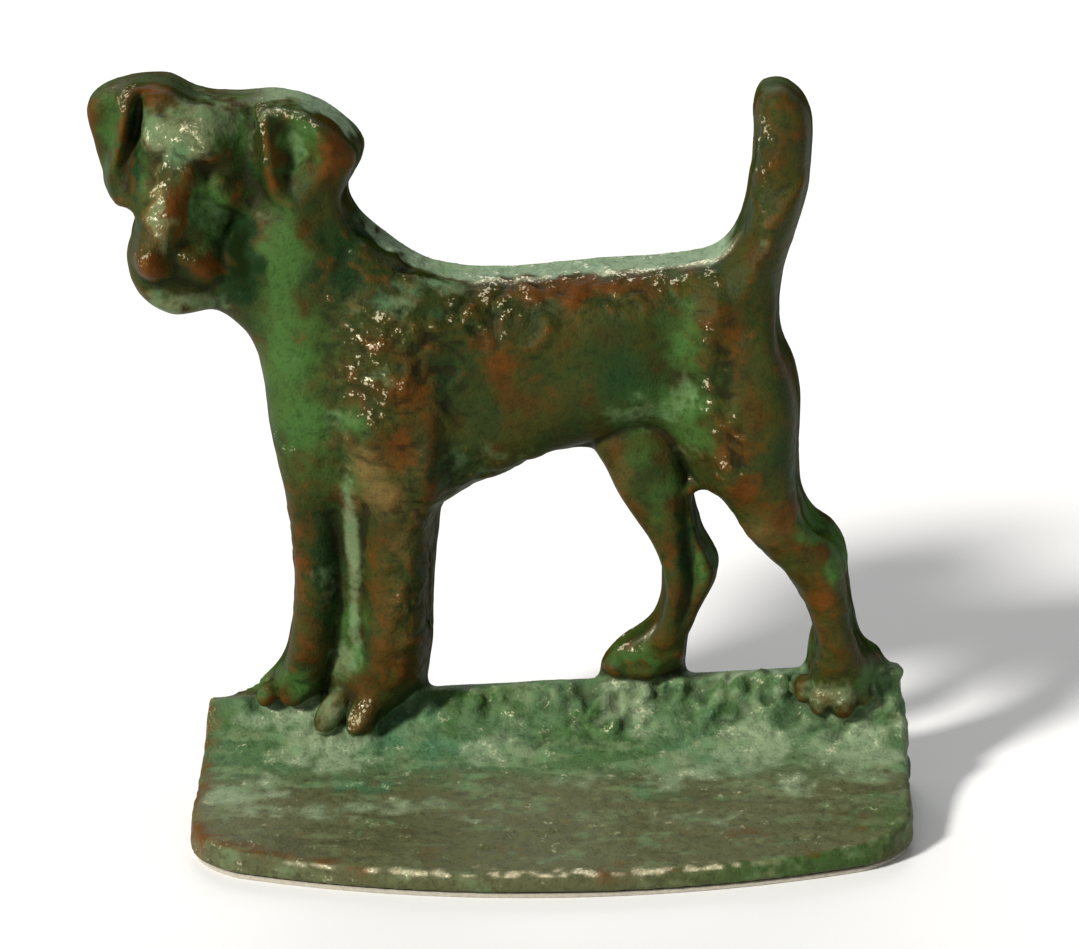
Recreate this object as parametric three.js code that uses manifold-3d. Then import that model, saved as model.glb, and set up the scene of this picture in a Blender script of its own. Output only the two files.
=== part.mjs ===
// A cast bronze terrier standing on a patch of ground, with a thin pad glued under its footing.
// Millimetres. +X runs from the head to the tail, +Y points out of the flat back, +Z is up.
// The origin is on the pad's underside, where the object rests: midway along it, 23 in front of the back.

import * as THREE from 'three';
import { mergeVertices } from 'three/addons/utils/BufferGeometryUtils.js';
import Module from 'manifold-3d';

// ---- Driving dimensions ----
const BACK_Y = 23; // the flat back of the whole casting
const FRONT_Y = -25; // the middle of the footing's curved front edge
const BASE_HALF_WIDTH = 56.8;
const END_FRONT_Y = -4; // where a straight end turns into the rounded front corner
const CORNER_X = 49;
const CORNER_Y = -16;
const CORNER_FULLNESS = 4; // how far behind the corner its round bends
const PAD_THICKNESS = 0.8;
const PAD_INSET = 0.8;
const GLUE_GAP = 0.3;
const FOOT_Z = PAD_THICKNESS + GLUE_GAP; // underside of the casting

const RIM_TOP_Z = 3.9; // the ground at the front edge
const APRON_SWELL = 1.8; // how much the apron has risen by mid-depth
const APRON_TOP_Z = 9; // the ground at the foot of the bank
const APRON_BACK_Y = 12;
const APRON_UNDER_BANK = 2; // the apron keeps rising this much, buried in the bank
const BANK_TOP_Z = 18; // the crest of the bank, at the middle of the width
const BANK_TOP_Y = 19;
const BANK_SLOPE = 0.042; // the crest climbs towards the tail end
const BANK_ROOT_Y = 6; // the buried front of the bank
const BANK_ROOT_Z = FOOT_Z + 2;
const BANK_TOE = [10, 6.5]; // where the bank comes out of the apron, as [y, z]
const BANK_FACE_BEND = [15.5, 9.5];
const BANK_FACE_TOP = [16.6, 14];
const BANK_SHOULDER = [17, 17.4];

const EDGE_THICKNESS = 7; // the metal around the figure's outline
const EDGE_ROUND = 1.6;
const WALL = 5; // between the relief and the hollow in the back
const HOLLOW_DEPTH = 6; // the hollow's depth around its rim

const OUTLINE_STEPS = 90;
const ROUND_SIDES = 14;
const CAP_RINGS = 3;

// ---- Materials ----
const bronze = new THREE.MeshStandardMaterial({ color: 0x4f6238, roughness: 0.5, metalness: 0.6 });
const felt = new THREE.MeshStandardMaterial({ color: 0xa8a596, roughness: 0.95, metalness: 0 });

// ---- Solids from three.js shapes ----
const wasm = await Module();
wasm.setup();

function toSolid(geometry) {
  const bare = geometry.index ? geometry.toNonIndexed() : geometry.clone();
  bare.deleteAttribute('normal');
  bare.deleteAttribute('uv');
  const merged = mergeVertices(bare, 1e-4);
  const mesh = new wasm.Mesh({
    numProp: 3,
    vertProperties: new Float32Array(merged.attributes.position.array),
    triVerts: new Uint32Array(merged.index.array),
  });
  return new wasm.Manifold(mesh);
}

function toGeometry(solid) {
  const mesh = solid.getMesh();
  const geometry = new THREE.BufferGeometry();
  geometry.setAttribute('position', new THREE.BufferAttribute(new Float32Array(mesh.vertProperties), 3));
  geometry.setIndex(new THREE.BufferAttribute(new Uint32Array(mesh.triVerts), 1));
  geometry.computeVertexNormals();
  return geometry;
}

function joinAll(solids) {
  return solids.reduce((whole, next) => whole.add(next));
}

// An ellipsoid by its centre and half-axes, turned about the Y axis by a lean in degrees.
function lump(centre, radii, leanDegrees = 0) {
  const geometry = new THREE.SphereGeometry(1, ROUND_SIDES, ROUND_SIDES / 2);
  geometry.scale(...radii);
  geometry.rotateY(THREE.MathUtils.degToRad(leanDegrees));
  geometry.translate(...centre);
  return toSolid(geometry);
}

// A round bar with two ball ends, tapering from one radius to the other.
function limb(from, to, fromRadius, toRadius) {
  const start = new THREE.Vector3(...from);
  const end = new THREE.Vector3(...to);
  const length = start.distanceTo(end);
  const profile = [];
  for (let ring = 0; ring <= CAP_RINGS; ring += 1) {
    const angle = (ring / CAP_RINGS) * (Math.PI / 2);
    const along = -fromRadius * Math.cos(angle);
    profile.push(new THREE.Vector2(fromRadius * Math.sin(angle), along));
  }
  for (let ring = CAP_RINGS; ring >= 0; ring -= 1) {
    const angle = (ring / CAP_RINGS) * (Math.PI / 2);
    const along = length + toRadius * Math.cos(angle);
    profile.push(new THREE.Vector2(toRadius * Math.sin(angle), along));
  }
  const geometry = new THREE.LatheGeometry(profile, ROUND_SIDES);
  const turn = new THREE.Quaternion().setFromUnitVectors(
    new THREE.Vector3(0, 1, 0),
    end.clone().sub(start).normalize(),
  );
  geometry.applyQuaternion(turn);
  geometry.translate(start.x, start.y, start.z);
  return toSolid(geometry);
}

// A chain of limbs through joints given as [x, y, z, radius].
function jointedLimb(joints) {
  const links = [];
  for (let i = 1; i < joints.length; i += 1) {
    const [ax, ay, az, ar] = joints[i - 1];
    const [bx, by, bz, br] = joints[i];
    links.push(limb([ax, ay, az], [bx, by, bz], ar, br));
  }
  return joinAll(links);
}

// A closed smooth curve through [x, z] points, as a three.js shape.
function smoothOutline(points, steps) {
  const curve = new THREE.CatmullRomCurve3(
    points.map(([x, z]) => new THREE.Vector3(x, z, 0)),
    true,
    'centripetal',
  );
  const path = curve.getSpacedPoints(steps).slice(0, -1);
  return path.map((p) => new THREE.Vector2(p.x, p.y));
}

// Extrudes a shape drawn in X and Z from the plane at frontY back to backY.
function slab(shape, frontY, backY, round = 0) {
  const geometry = new THREE.ExtrudeGeometry(shape, {
    depth: backY - frontY - 2 * round,
    bevelEnabled: round > 0,
    bevelSize: round,
    bevelThickness: round,
    bevelOffset: -round,
    bevelSegments: 1,
    steps: 1,
  });
  geometry.rotateX(Math.PI / 2);
  geometry.translate(0, backY - round, 0);
  return toSolid(geometry);
}

// ---- The ground ----
// The plan: a straight back, straight ends, rounded corners and one long curve along the front.
function basePlan(inset) {
  const half = BASE_HALF_WIDTH - inset;
  const back = BACK_Y - inset;
  const front = FRONT_Y + inset;
  const cornerX = CORNER_X - inset;
  const cornerY = CORNER_Y + inset;
  const drop = cornerY - front;
  const radius = (cornerX * cornerX + drop * drop) / (2 * drop);
  const sweep = Math.asin(cornerX / radius);
  const plan = new THREE.Shape();
  plan.moveTo(-half, back);
  plan.lineTo(-half, END_FRONT_Y);
  plan.quadraticCurveTo(-half, cornerY + CORNER_FULLNESS, -cornerX, cornerY);
  plan.absarc(0, front + radius, radius, -Math.PI / 2 - sweep, -Math.PI / 2 + sweep, false);
  plan.quadraticCurveTo(half, cornerY + CORNER_FULLNESS, half, END_FRONT_Y);
  plan.lineTo(half, back);
  plan.closePath();
  return plan;
}

function planSolid(inset, bottom, top) {
  const geometry = new THREE.ExtrudeGeometry(basePlan(inset), {
    depth: top - bottom,
    bevelEnabled: false,
    curveSegments: 18,
  });
  geometry.translate(0, 0, bottom);
  return toSolid(geometry);
}

// A side profile drawn in Y and Z, run across the whole width and tilted by slope along X.
function profileSolid(profile, slope) {
  const reach = BASE_HALF_WIDTH * 1.1;
  const geometry = new THREE.ExtrudeGeometry(profile, {
    depth: 2 * reach,
    bevelEnabled: false,
    curveSegments: 10,
  });
  geometry.applyMatrix4(new THREE.Matrix4().makeBasis(
    new THREE.Vector3(0, 1, 0),
    new THREE.Vector3(0, 0, 1),
    new THREE.Vector3(1, 0, slope),
  ));
  geometry.translate(-reach, 0, -reach * slope);
  return toSolid(geometry);
}

function apronProfile() {
  const profile = new THREE.Shape();
  profile.moveTo(BACK_Y, FOOT_Z);
  profile.lineTo(FRONT_Y, FOOT_Z);
  profile.lineTo(FRONT_Y, RIM_TOP_Z);
  profile.quadraticCurveTo(0, RIM_TOP_Z + APRON_SWELL, APRON_BACK_Y, APRON_TOP_Z);
  profile.lineTo(BACK_Y, APRON_TOP_Z + APRON_UNDER_BANK);
  profile.closePath();
  return profile;
}

function bankProfile() {
  const buried = BANK_ROOT_Z + BASE_HALF_WIDTH * BANK_SLOPE;
  const profile = new THREE.Shape();
  profile.moveTo(BACK_Y, buried);
  profile.lineTo(BANK_ROOT_Y, buried);
  profile.lineTo(...BANK_TOE);
  profile.quadraticCurveTo(...BANK_FACE_BEND, ...BANK_FACE_TOP);
  profile.quadraticCurveTo(...BANK_SHOULDER, BANK_TOP_Y, BANK_TOP_Z);
  profile.lineTo(BACK_Y, BANK_TOP_Z);
  profile.closePath();
  return profile;
}

function ground() {
  const footprint = planSolid(0, FOOT_Z, BANK_TOP_Z * 2);
  const apron = profileSolid(apronProfile(), 0);
  const bank = profileSolid(bankProfile(), BANK_SLOPE);
  return apron.add(bank).intersect(footprint);
}

// ---- The dog ----
const FIGURE_OUTLINE = [
  [0, 8], [53, 8], [52.9, 22.4], [50.1, 25], [48.6, 30], [47.8, 36], [47.2, 41.4], [45.2, 44.8],
  [42.2, 47.2], [40.4, 51], [40, 57], [40.3, 66.6], [39.2, 72.4], [37.5, 76.6], [37.1, 81], [38.3, 88.8],
  [41.2, 97.4], [42.3, 104.5], [42.4, 111.2], [40.9, 114.8], [37.8, 117.1], [34.7, 116.6], [33.4, 114.4],
  [33.2, 107.6], [32.4, 101.4], [30.6, 94.6], [27.5, 90.9], [22, 89.5], [9, 88.7], [-6.7, 87.6],
  [-14, 88.2], [-19.2, 89.8], [-24.5, 93.6], [-28.6, 97.6], [-29.9, 101.2], [-27.6, 105.4], [-27.4, 108],
  [-30.5, 111.2], [-35, 114.4], [-40, 116.2], [-47, 116.6], [-52.6, 117.4], [-57.1, 119.6], [-62, 119.6],
  [-67.4, 118], [-69.9, 115.4], [-69.3, 110.4], [-68, 105.4], [-67.7, 101.4], [-65.2, 99.4], [-62.8, 98],
  [-63.3, 93.1], [-61.6, 88.8], [-56.4, 85.3], [-50.6, 84.4], [-46.6, 79], [-44.7, 72.4], [-43.9, 64.2],
  [-42.2, 55.3], [-41.3, 47], [-41.2, 37], [-42.3, 28.7], [-44.4, 23.4], [-49.6, 19.4], [-51.6, 8],
];
const BELLY_GAP = [
  [-19.6, 14], [-19.2, 26], [-18.7, 35.3], [-17.8, 43], [-16.2, 50], [-9, 53.8], [-3.4, 56.8], [3.6, 58.4],
  [7.6, 58.2], [10.4, 52.5], [13.9, 47.1], [16.9, 41.4], [17.8, 37], [16.4, 29.8], [10.4, 25], [7.6, 21],
  [7.2, 14],
];
const HIND_GAP = [
  [38.6, 14], [41.2, 25], [41.8, 28.4], [38.2, 35.7], [32, 43.4], [25.6, 51.4], [23.5, 51.4], [24.3, 45],
  [27.1, 38.4], [23.6, 30.6], [22, 26], [22.6, 14],
];

const HOLLOW_RIM = [
  [34, 72], [33, 80], [26, 84], [5, 82.5], [-10, 82], [-18, 84], [-26, 89], [-34, 95], [-36, 103], [-42, 110],
  [-52, 111], [-57, 106], [-56, 97], [-50, 91], [-43, 86], [-39, 76], [-37, 64], [-33, 58], [-24, 58],
  [-14, 60], [-2, 63], [8, 65], [18, 64], [24, 58], [32, 56], [35, 64],
];

function figureSlab() {
  const shape = new THREE.Shape(smoothOutline(FIGURE_OUTLINE, OUTLINE_STEPS));
  shape.holes.push(new THREE.Path(smoothOutline(BELLY_GAP, OUTLINE_STEPS / 3)));
  shape.holes.push(new THREE.Path(smoothOutline(HIND_GAP, OUTLINE_STEPS / 3)));
  return slab(shape, BACK_Y - EDGE_THICKNESS, BACK_Y + EDGE_ROUND * 2, EDGE_ROUND);
}

// Lumps of the trunk as [centre, half-axes, lean]; the hollow in the back follows some of them.
const BARREL = [[-3, 18, 72.5], [35, 12, 14.5], 0];
const SHOULDER = [[-28, 17, 74], [14, 13, 21], -8];
const NECK = [[-36, 18, 86], [12, 12, 15], 25];
const RUMP = [[28, 18, 69], [11.5, 11.5, 19], 8];
const SKULL = [[-48.5, 15, 106], [13.5, 12, 10.6], 6];
const TAIL = [[35, 18, 84, 5.5], [36.5, 18, 97, 4.9], [37.8, 18, 111.5, 4.8]];

// Leg joints as [x, y, z, radius], from the body down to the paw.
const NEAR_FORELEG = [[-25, 14, 66, 8.5], [-24, 13.5, 46, 6.6], [-25.2, 14, 26, 5.8], [-30, 11, 19, 5.2]];
const FAR_FORELEG = [[-36, 17, 60, 7], [-36.6, 17, 42, 4.6], [-37.6, 16.5, 26, 4.8], [-43, 15, 19.6, 4]];
const NEAR_HIND_LEG = [
  [31, 16, 62, 8.5], [38, 15.5, 46, 6.4], [44.6, 15.5, 38, 3.9], [45.6, 15, 26, 4], [47, 12, 20.5, 4.4],
];
const FAR_HIND_LEG = [
  [15, 18.5, 56, 6.5], [20.6, 18.5, 44, 4.2], [22.6, 18.5, 38.6, 3.8], [18.8, 18, 28, 3.6], [15, 17, 23.5, 4],
];

function trunk() {
  return joinAll([lump(...BARREL), lump(...SHOULDER), lump(...NECK), lump(...RUMP), jointedLimb(TAIL)]);
}

function legs() {
  const nearToes = lump([-33.5, 10, 15.5], [4.8, 5, 3.4]);
  const limbs = [NEAR_FORELEG, FAR_FORELEG, NEAR_HIND_LEG, FAR_HIND_LEG].map(jointedLimb);
  return joinAll([...limbs, nearToes]);
}

function head() {
  const skull = lump(...SKULL);
  const brow = lump([-52, 10.5, 107.5], [8, 6, 6.5]);
  const bridge = limb([-55, 9, 102], [-59, 4.6, 90.6], 3.6, 3.2);
  const beard = lump([-54.5, 9.5, 91], [8.4, 8, 6.4], -15);
  const cheek = lump([-46, 14, 95.5], [9, 10, 9]);
  const nearEar = lump([-37.4, 13, 107], [7.6, 8, 9], 12);
  const farEar = lump([-63.8, 17, 110], [4.2, 5, 8.6], -8);
  return joinAll([skull, brow, bridge, beard, cheek, nearEar, farEar]);
}

// A lump shrunk by the wall, for the hollow behind it.
function shrunkLump(centre, radii, lean) {
  return lump(centre, radii.map((radius) => radius - WALL), lean);
}

// The back is hollow behind the trunk and the head: a shallow tray, deeper where the relief stands out.
function backHollow() {
  const rim = new THREE.Shape(smoothOutline(HOLLOW_RIM, OUTLINE_STEPS / 2));
  const tray = slab(rim, BACK_Y - HOLLOW_DEPTH, BACK_Y + HOLLOW_DEPTH);
  return joinAll([
    tray,
    shrunkLump(...BARREL),
    shrunkLump(...SHOULDER),
    shrunkLump(...RUMP),
    shrunkLump(...SKULL),
  ]);
}

function behindBack() {
  const size = 400;
  const geometry = new THREE.BoxGeometry(size, size, size);
  geometry.translate(0, BACK_Y + size / 2, 0);
  return toSolid(geometry);
}

function castingSolid() {
  return joinAll([ground(), figureSlab(), trunk(), legs(), head()])
    .subtract(behindBack())
    .subtract(backHollow());
}

// ---- The assembly ----
function namedMesh(name, solid, material) {
  const mesh = new THREE.Mesh(toGeometry(solid), material);
  mesh.name = name;
  return mesh;
}

const group = new THREE.Group();
group.add(namedMesh('terrier_casting', castingSolid(), bronze));
group.add(namedMesh('felt_pad', planSolid(PAD_INSET, 0, PAD_THICKNESS), felt));

export default group;
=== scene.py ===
"""A cast bronze terrier paperweight with a green and brown patina, on a thin felt pad.

The casting is sculpted here as a solid on a fine grid, the way a relief casting is: every shape stands out
of one flat back and can be drawn from its mould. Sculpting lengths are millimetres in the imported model's
frame: X from head to tail, Y into the flat back, Z up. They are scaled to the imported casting's height.
"""

import math

import bpy
import numpy as np
from mathutils import Matrix, Vector


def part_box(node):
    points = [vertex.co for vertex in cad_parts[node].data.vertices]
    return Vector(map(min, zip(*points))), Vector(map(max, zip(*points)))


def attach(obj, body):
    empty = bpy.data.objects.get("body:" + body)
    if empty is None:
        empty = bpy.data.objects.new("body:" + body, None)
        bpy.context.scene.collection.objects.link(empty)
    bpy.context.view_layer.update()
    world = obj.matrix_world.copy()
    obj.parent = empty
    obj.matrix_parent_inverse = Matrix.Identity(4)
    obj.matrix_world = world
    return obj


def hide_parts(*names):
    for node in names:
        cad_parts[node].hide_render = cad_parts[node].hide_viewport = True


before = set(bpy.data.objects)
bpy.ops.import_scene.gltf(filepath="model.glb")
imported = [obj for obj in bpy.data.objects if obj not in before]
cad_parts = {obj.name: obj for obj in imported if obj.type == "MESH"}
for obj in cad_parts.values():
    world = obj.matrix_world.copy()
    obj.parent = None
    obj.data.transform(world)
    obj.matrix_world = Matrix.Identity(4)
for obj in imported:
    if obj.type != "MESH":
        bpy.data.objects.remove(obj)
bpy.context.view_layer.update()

# Places taken from the frame
CASTING_LOW, CASTING_HIGH = (np.array(corner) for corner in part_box("terrier_casting"))
PAD_LOW, PAD_HIGH = (np.array(corner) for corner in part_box("felt_pad"))
SCULPTED_HEIGHT = 118.7
MM = float(CASTING_HIGH[2] - CASTING_LOW[2]) / SCULPTED_HEIGHT
BACK_Y = float(CASTING_HIGH[1]) / MM
FRONT_Y = float(CASTING_LOW[1]) / MM
FOOT_Z = float(CASTING_LOW[2]) / MM
HALF_WIDTH = float(CASTING_HIGH[0]) / MM

# The sculpting grid
STEP = 0.55
GRID_LOW = np.array([-74.0, FRONT_Y - 2 * STEP, FOOT_Z - 2 * STEP])
GRID_HIGH = np.array([HALF_WIDTH + 2 * STEP, BACK_Y + 2 * STEP, 122.0])

# Relief heights are measured from the flat back
EDGE = 7.0
WALL = 5.0
DRAFT = math.tan(math.radians(4))
EDGE_BLEND = 2.0

# The figure's outlines as [x, z] points on smooth curves
FIGURE_OUTLINE = [
    [0, 8], [53, 8], [52.9, 22.4], [50.1, 25], [48.6, 30], [47.8, 36], [47.2, 41.4], [45.2, 44.8],
    [42.2, 47.2], [40.4, 51], [40, 57], [40.3, 66.6], [39.2, 72.4], [37.5, 76.6], [37.1, 81], [38.3, 88.8],
    [41.2, 97.4], [42.3, 104.5], [42.4, 111.2], [40.9, 114.8], [37.8, 117.1], [34.7, 116.6], [33.4, 114.4],
    [33.2, 107.6], [32.4, 101.4], [30.6, 94.6], [27.5, 90.9], [22, 89.5], [9, 88.7], [-6.7, 87.6],
    [-14, 88.2], [-19.2, 89.8], [-24.5, 93.6], [-28.6, 97.6], [-29.9, 101.2], [-27.6, 105.4], [-27.2, 108.6],
    [-30, 112.2], [-34.8, 115.4], [-40, 116.8], [-47, 116.6], [-52.6, 117.4], [-57.1, 119.6], [-62, 119.6],
    [-67.4, 118], [-69.9, 115.4], [-69.3, 110.4], [-68.2, 105.4], [-67.9, 102.6], [-65.6, 100.4],
    [-63, 99.8], [-64.4, 94.2], [-63.6, 88.3], [-57.7, 83.1], [-51, 82.6], [-46.8, 79], [-44.7, 72.4],
    [-43.9, 64.2], [-42.2, 55.3], [-41.3, 47], [-41.2, 37], [-42, 29.6], [-43.4, 24.2], [-45.6, 20.9],
    [-48.5, 18.6], [-52.4, 16.4], [-52.6, 8],
]
BELLY_GAP = [
    [-19.6, 14], [-19.2, 26], [-18.7, 35.3], [-17.8, 43], [-16.2, 50], [-9, 53.8], [-3.4, 56.8], [3.6, 58.4],
    [7.6, 58.2], [10.4, 52.5], [13.9, 47.1], [16.9, 41.4], [17.8, 37], [16.4, 29.8], [10.4, 25], [7.6, 21],
    [7.2, 14],
]
HIND_GAP = [
    [38.6, 14], [41.2, 25], [41.8, 28.4], [38.2, 35.7], [32, 43.4], [25.6, 51.4], [23.5, 51.4], [24.3, 45],
    [27.1, 38.4], [23.6, 30.6], [22, 26], [22.6, 14],
]
HOLLOW_RIM = [
    [34, 72], [33, 80], [26, 84], [5, 82.5], [-10, 82], [-18, 84], [-26, 89], [-34, 95], [-36, 103],
    [-42, 110], [-52, 111], [-57, 106], [-56, 97], [-50, 91], [-43, 86], [-39, 76], [-37, 64], [-33, 58],
    [-24, 58], [-14, 60], [-2, 63], [8, 65], [18, 64], [24, 58], [32, 56], [35, 64],
]
TORSO = [
    [-60, 48], [-38, 50], [-30, 55], [-20, 51], [-16.2, 50.6], [-12.1, 53.4], [-4.1, 56.2], [2.2, 59.1],
    [8.6, 61], [14.9, 62.8], [18.2, 62], [20.8, 58.6], [24.2, 53.3], [30, 44], [56, 44], [56, 110],
    [30, 100], [0, 105], [-30, 112], [-60, 80],
]
NEAR_EAR = [
    [-43.2, 117.6], [-42.8, 110], [-42.4, 104.6], [-40.6, 101], [-37.6, 99.4], [-35, 102], [-31.4, 104.6],
    [-26, 105.4], [-25, 109], [-30, 114], [-36, 118],
]

# Ridges of the relief: [x, z, half-width, height of the crest] along each spine
THROAT = [
    [-37.6, 99, 5.4, 12.5], [-37.2, 92, 6, 14], [-36.8, 82, 7.6, 15.5], [-35.6, 69, 9, 16.2],
    [-36.5, 57, 7.4, 14],
]
NECK = [[-33, 97, 8, 12.5], [-27, 88, 10, 15], [-20, 81, 11, 16]]
SHOULDER = [[-25, 80, 9, 17.6], [-24, 68, 9, 18.8], [-22.8, 58, 8, 17.6]]
NEAR_FORELEG = [
    [-22.6, 58, 7.2, 17], [-23.3, 48, 5.8, 15.6], [-24, 38, 5.4, 15], [-24.6, 30, 5.3, 14.8],
    [-25.4, 25, 5.2, 13.6], [-27.6, 20.4, 4.2, 11.6], [-29.6, 16.6, 3, 9.6],
]
FAR_FORELEG = [
    [-38.2, 56, 5, 12.6], [-37.8, 46, 4.3, 12], [-38, 36, 4.2, 12], [-38.8, 28, 4, 11.6],
    [-39.6, 24.4, 3.6, 10], [-41, 21, 2.8, 7.6],
]
HAUNCH = [[31, 84, 6.6, 13], [32.2, 76, 7.4, 16], [33, 66, 8, 17.5], [32.6, 58, 8, 17]]
NEAR_HIND_LEG = [
    [32.6, 58, 8, 17], [36, 49, 6.6, 15.5], [41.2, 43, 5.9, 14.5], [43.8, 38.6, 4.8, 13.6],
    [45, 32, 4.8, 13], [45.8, 25, 5.4, 12.6], [45.6, 20, 5, 11.4], [45.6, 16.6, 3.6, 10],
]
FAR_THIGH = [
    [14, 59, 6.6, 11.5], [17, 49, 5.4, 11.5], [19.4, 42, 3.6, 11.5], [19.6, 35, 3.1, 11.5],
    [18.4, 28.6, 3.1, 10.4], [17, 25.4, 3, 8.6], [14.8, 23.4, 2.6, 7],
]
FAR_TENDON = [
    [23, 52, 2, 9.6], [24, 45, 2.4, 10], [25, 39.2, 2.6, 10.2], [22.8, 32, 2.4, 9.8], [21, 26, 2.4, 9.2],
]
TENDON_GROOVE = [[21.6, 51, 1.2, 0.8], [22, 44, 1.1, 1.2], [22.6, 38, 1, 1.2], [20.8, 31, 1, 0.8]]
TAIL = [
    [35.4, 84, 4.6, 10], [35.4, 92, 4.6, 10.4], [36.6, 101, 4.8, 10.8], [37.7, 109, 4.8, 10.8],
    [37.7, 113, 4.4, 10],
]
HAUNCH_EDGE = [
    [27, 84, 2.2, 1.2], [25.6, 78, 2.4, 1.8], [26, 70, 2.4, 2], [26.6, 62, 2.4, 1.6], [28.6, 55, 2.2, 1],
]
FLANK_HOLLOW = [[20.6, 80, 4.5, 1.6], [20.4, 72, 4.8, 2.4], [19, 67, 4, 1.4]]
ELBOW_EDGE = [[-16.4, 72, 2.6, 1.2], [-17, 65, 2.6, 1.6], [-18.6, 59, 2.4, 1.8], [-17.6, 54, 2, 1.2]]

SKULL = [[-54, 113, 8.4, 11.6], [-50, 107, 9, 13], [-47, 103, 7, 11]]
MUZZLE = [[-57, 105.5, 8.6, 14.2], [-58.4, 97, 10.6, 16.4], [-57.6, 91, 10.4, 17]]
FOREHEAD = [
    [-56.8, 115.6, 3.8, 12.2], [-52, 114.8, 3.8, 12.2], [-51.8, 111.4, 3.8, 14.6], [-56.6, 112, 3.8, 14.8],
    [-56.8, 115.6, 3.8, 12.2],
]
FOREHEAD_MIDDLE = [[-54.4, 115, 3, 12.4], [-54.4, 111.6, 3.4, 15.2], [-55, 107.6, 4.4, 15.2]]
FAR_BROW = [[-59.4, 111.4, 1.7, 1.2], [-59, 110.2, 1.7, 1.2]]
NEAR_BROW = [[-52, 109.8, 2, 0.6], [-49.6, 109.2, 1.8, 1.6], [-48.2, 111.6, 1.5, 1]]
STOP = [[-57.4, 107.8, 1.8, 0.6], [-53, 107.2, 1.8, 0.6]]
BRIDGE = [[-55, 106.6, 3.2, 16.8], [-57, 100.6, 3.6, 19], [-58.8, 96.4, 3.5, 20.6]]
NOSE = [[-59.6, 94.3, 2.8, 22.6], [-59, 93.3, 2.9, 22.2]]
EYE_SOCKET = [[-49.6, 105.8, 2.8, 1.2], [-46.6, 105.2, 2.2, 1]]
EYE = [[-48.9, 105.2, 1.2, 2], [-48.1, 105, 1.1, 1.8]]
CHEEKBONE = [[-53, 106.4, 1.5, 0.9], [-49.6, 103.2, 1.4, 1.6], [-45.4, 99.8, 1.5, 1.4]]
CHEEK_HOLLOW = [[-51.6, 101, 2.4, 0.9], [-49, 98, 2.8, 1.2]]
JAW_RECESS = [[-46.4, 98, 2, 1.4], [-46, 94, 2.4, 3.4], [-45.6, 89.6, 2.2, 3.6], [-45.6, 85.6, 1.8, 2]]
LIP = [[-55.4, 94.6, 1.6, 1.4], [-52.4, 93.2, 1.9, 2.2], [-49.4, 90.8, 2, 2]]
MOUTH = [[-57, 90.9, 1.2, 0.6], [-54.6, 90, 1.5, 0.8], [-51.6, 88.4, 1.4, 0.6]]
CHIN_RIM = [
    [-61.6, 90.2, 1.4, 0.7], [-58.8, 86.8, 1.5, 1.1], [-55, 85.2, 1.6, 1.2], [-51, 85.4, 1.5, 1.1],
    [-48, 86.4, 1.3, 0.8],
]
EAR_FRONT = [
    [-41.8, 117, 1.8, 1.6], [-41.2, 111, 1.9, 2.6], [-40.8, 106, 1.9, 2.8], [-39.8, 102.4, 2, 2.6],
    [-38, 100.8, 1.8, 2],
]
EAR_TOP = [[-40.4, 116.8, 1.8, 0.8], [-36.6, 114.8, 1.9, 1.2], [-33, 112.6, 2.2, 1.4]]
EAR_CORNER = [
    [-31.6, 110.2, 3, 1.8], [-32.4, 107.2, 2.2, 1.6], [-35, 103.4, 1.6, 1.4], [-37.4, 100.8, 1.4, 1.4],
]
EAR_UNDER = [[-29.6, 103.6, 1.6, 1], [-33, 100.4, 1.6, 1.3], [-37.2, 97.8, 1.6, 1]]
EAR_HOLLOW = [[-37.4, 111, 3, 1.6], [-36.8, 106, 2.4, 2]]
EAR_RECESS = [[-45.6, 115, 2.4, 1.2], [-45.4, 109, 2.6, 2.2], [-44.6, 104.4, 1.8, 1.2]]
FAR_EAR_RIDGE = [
    [-57.8, 120.2, 1.6, 9.4], [-60.6, 119.8, 1.8, 11.4], [-62.4, 117.6, 1.8, 12.2],
    [-63.2, 113.4, 1.8, 12.6], [-64.6, 108.6, 1.8, 12.2], [-65.6, 104.6, 1.9, 11.4],
    [-64.8, 102.6, 1.9, 10.4],
]
FAR_GROOVE = [[-60.6, 117, 1.2, 1.2], [-61.6, 113, 1.2, 1.6], [-62.4, 108, 1.3, 1.4], [-63.2, 103.8, 1.3, 1]]

# How the ridges join the relief: (ridge, blend, height of its foot, and fullness where it has its own)
BODY_RIDGES = [
    (NECK, 2.0, 8.0), (THROAT, 1.6, 7.5), (FAR_FORELEG, 1.0, 7.5), (FAR_THIGH, 1.0, 7.5),
    (FAR_TENDON, 0.8, 7.5), (HAUNCH, 1.6, 8.5), (NEAR_HIND_LEG, 1.2, 7.5), (SHOULDER, 2.0, 11.0),
    (NEAR_FORELEG, 1.0, 8.0), (TAIL, 0.8, 6.5),
]
SKULL_RIDGES = [
    (SKULL, 1.0, 8.0, 0.5), (MUZZLE, 1.6, 7.5, 0.6), (FOREHEAD, 1.0, 10.0, 0.4),
    (FOREHEAD_MIDDLE, 0.8, 11.0, 0.4),
]
FACE_RIDGES = [(BRIDGE, 0.8, 13.0, 0.45), (NOSE, 0.5, 15.0, 0.5), (FAR_EAR_RIDGE, 0.7, 7.0, 0.7)]
HEAD_RISES = [FAR_BROW, NEAR_BROW, EYE, CHEEKBONE, LIP, CHIN_RIM, EAR_FRONT, EAR_TOP, EAR_CORNER]
HEAD_HOLLOWS = [
    STOP, EYE_SOCKET, CHEEK_HOLLOW, JAW_RECESS, MOUTH, EAR_HOLLOW, EAR_RECESS, EAR_UNDER, FAR_GROOVE,
]
RIDGE_FULLNESS = 0.42
SIDE_STEEPNESS = 1.6
HEAD_BLEND = 0.8

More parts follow.
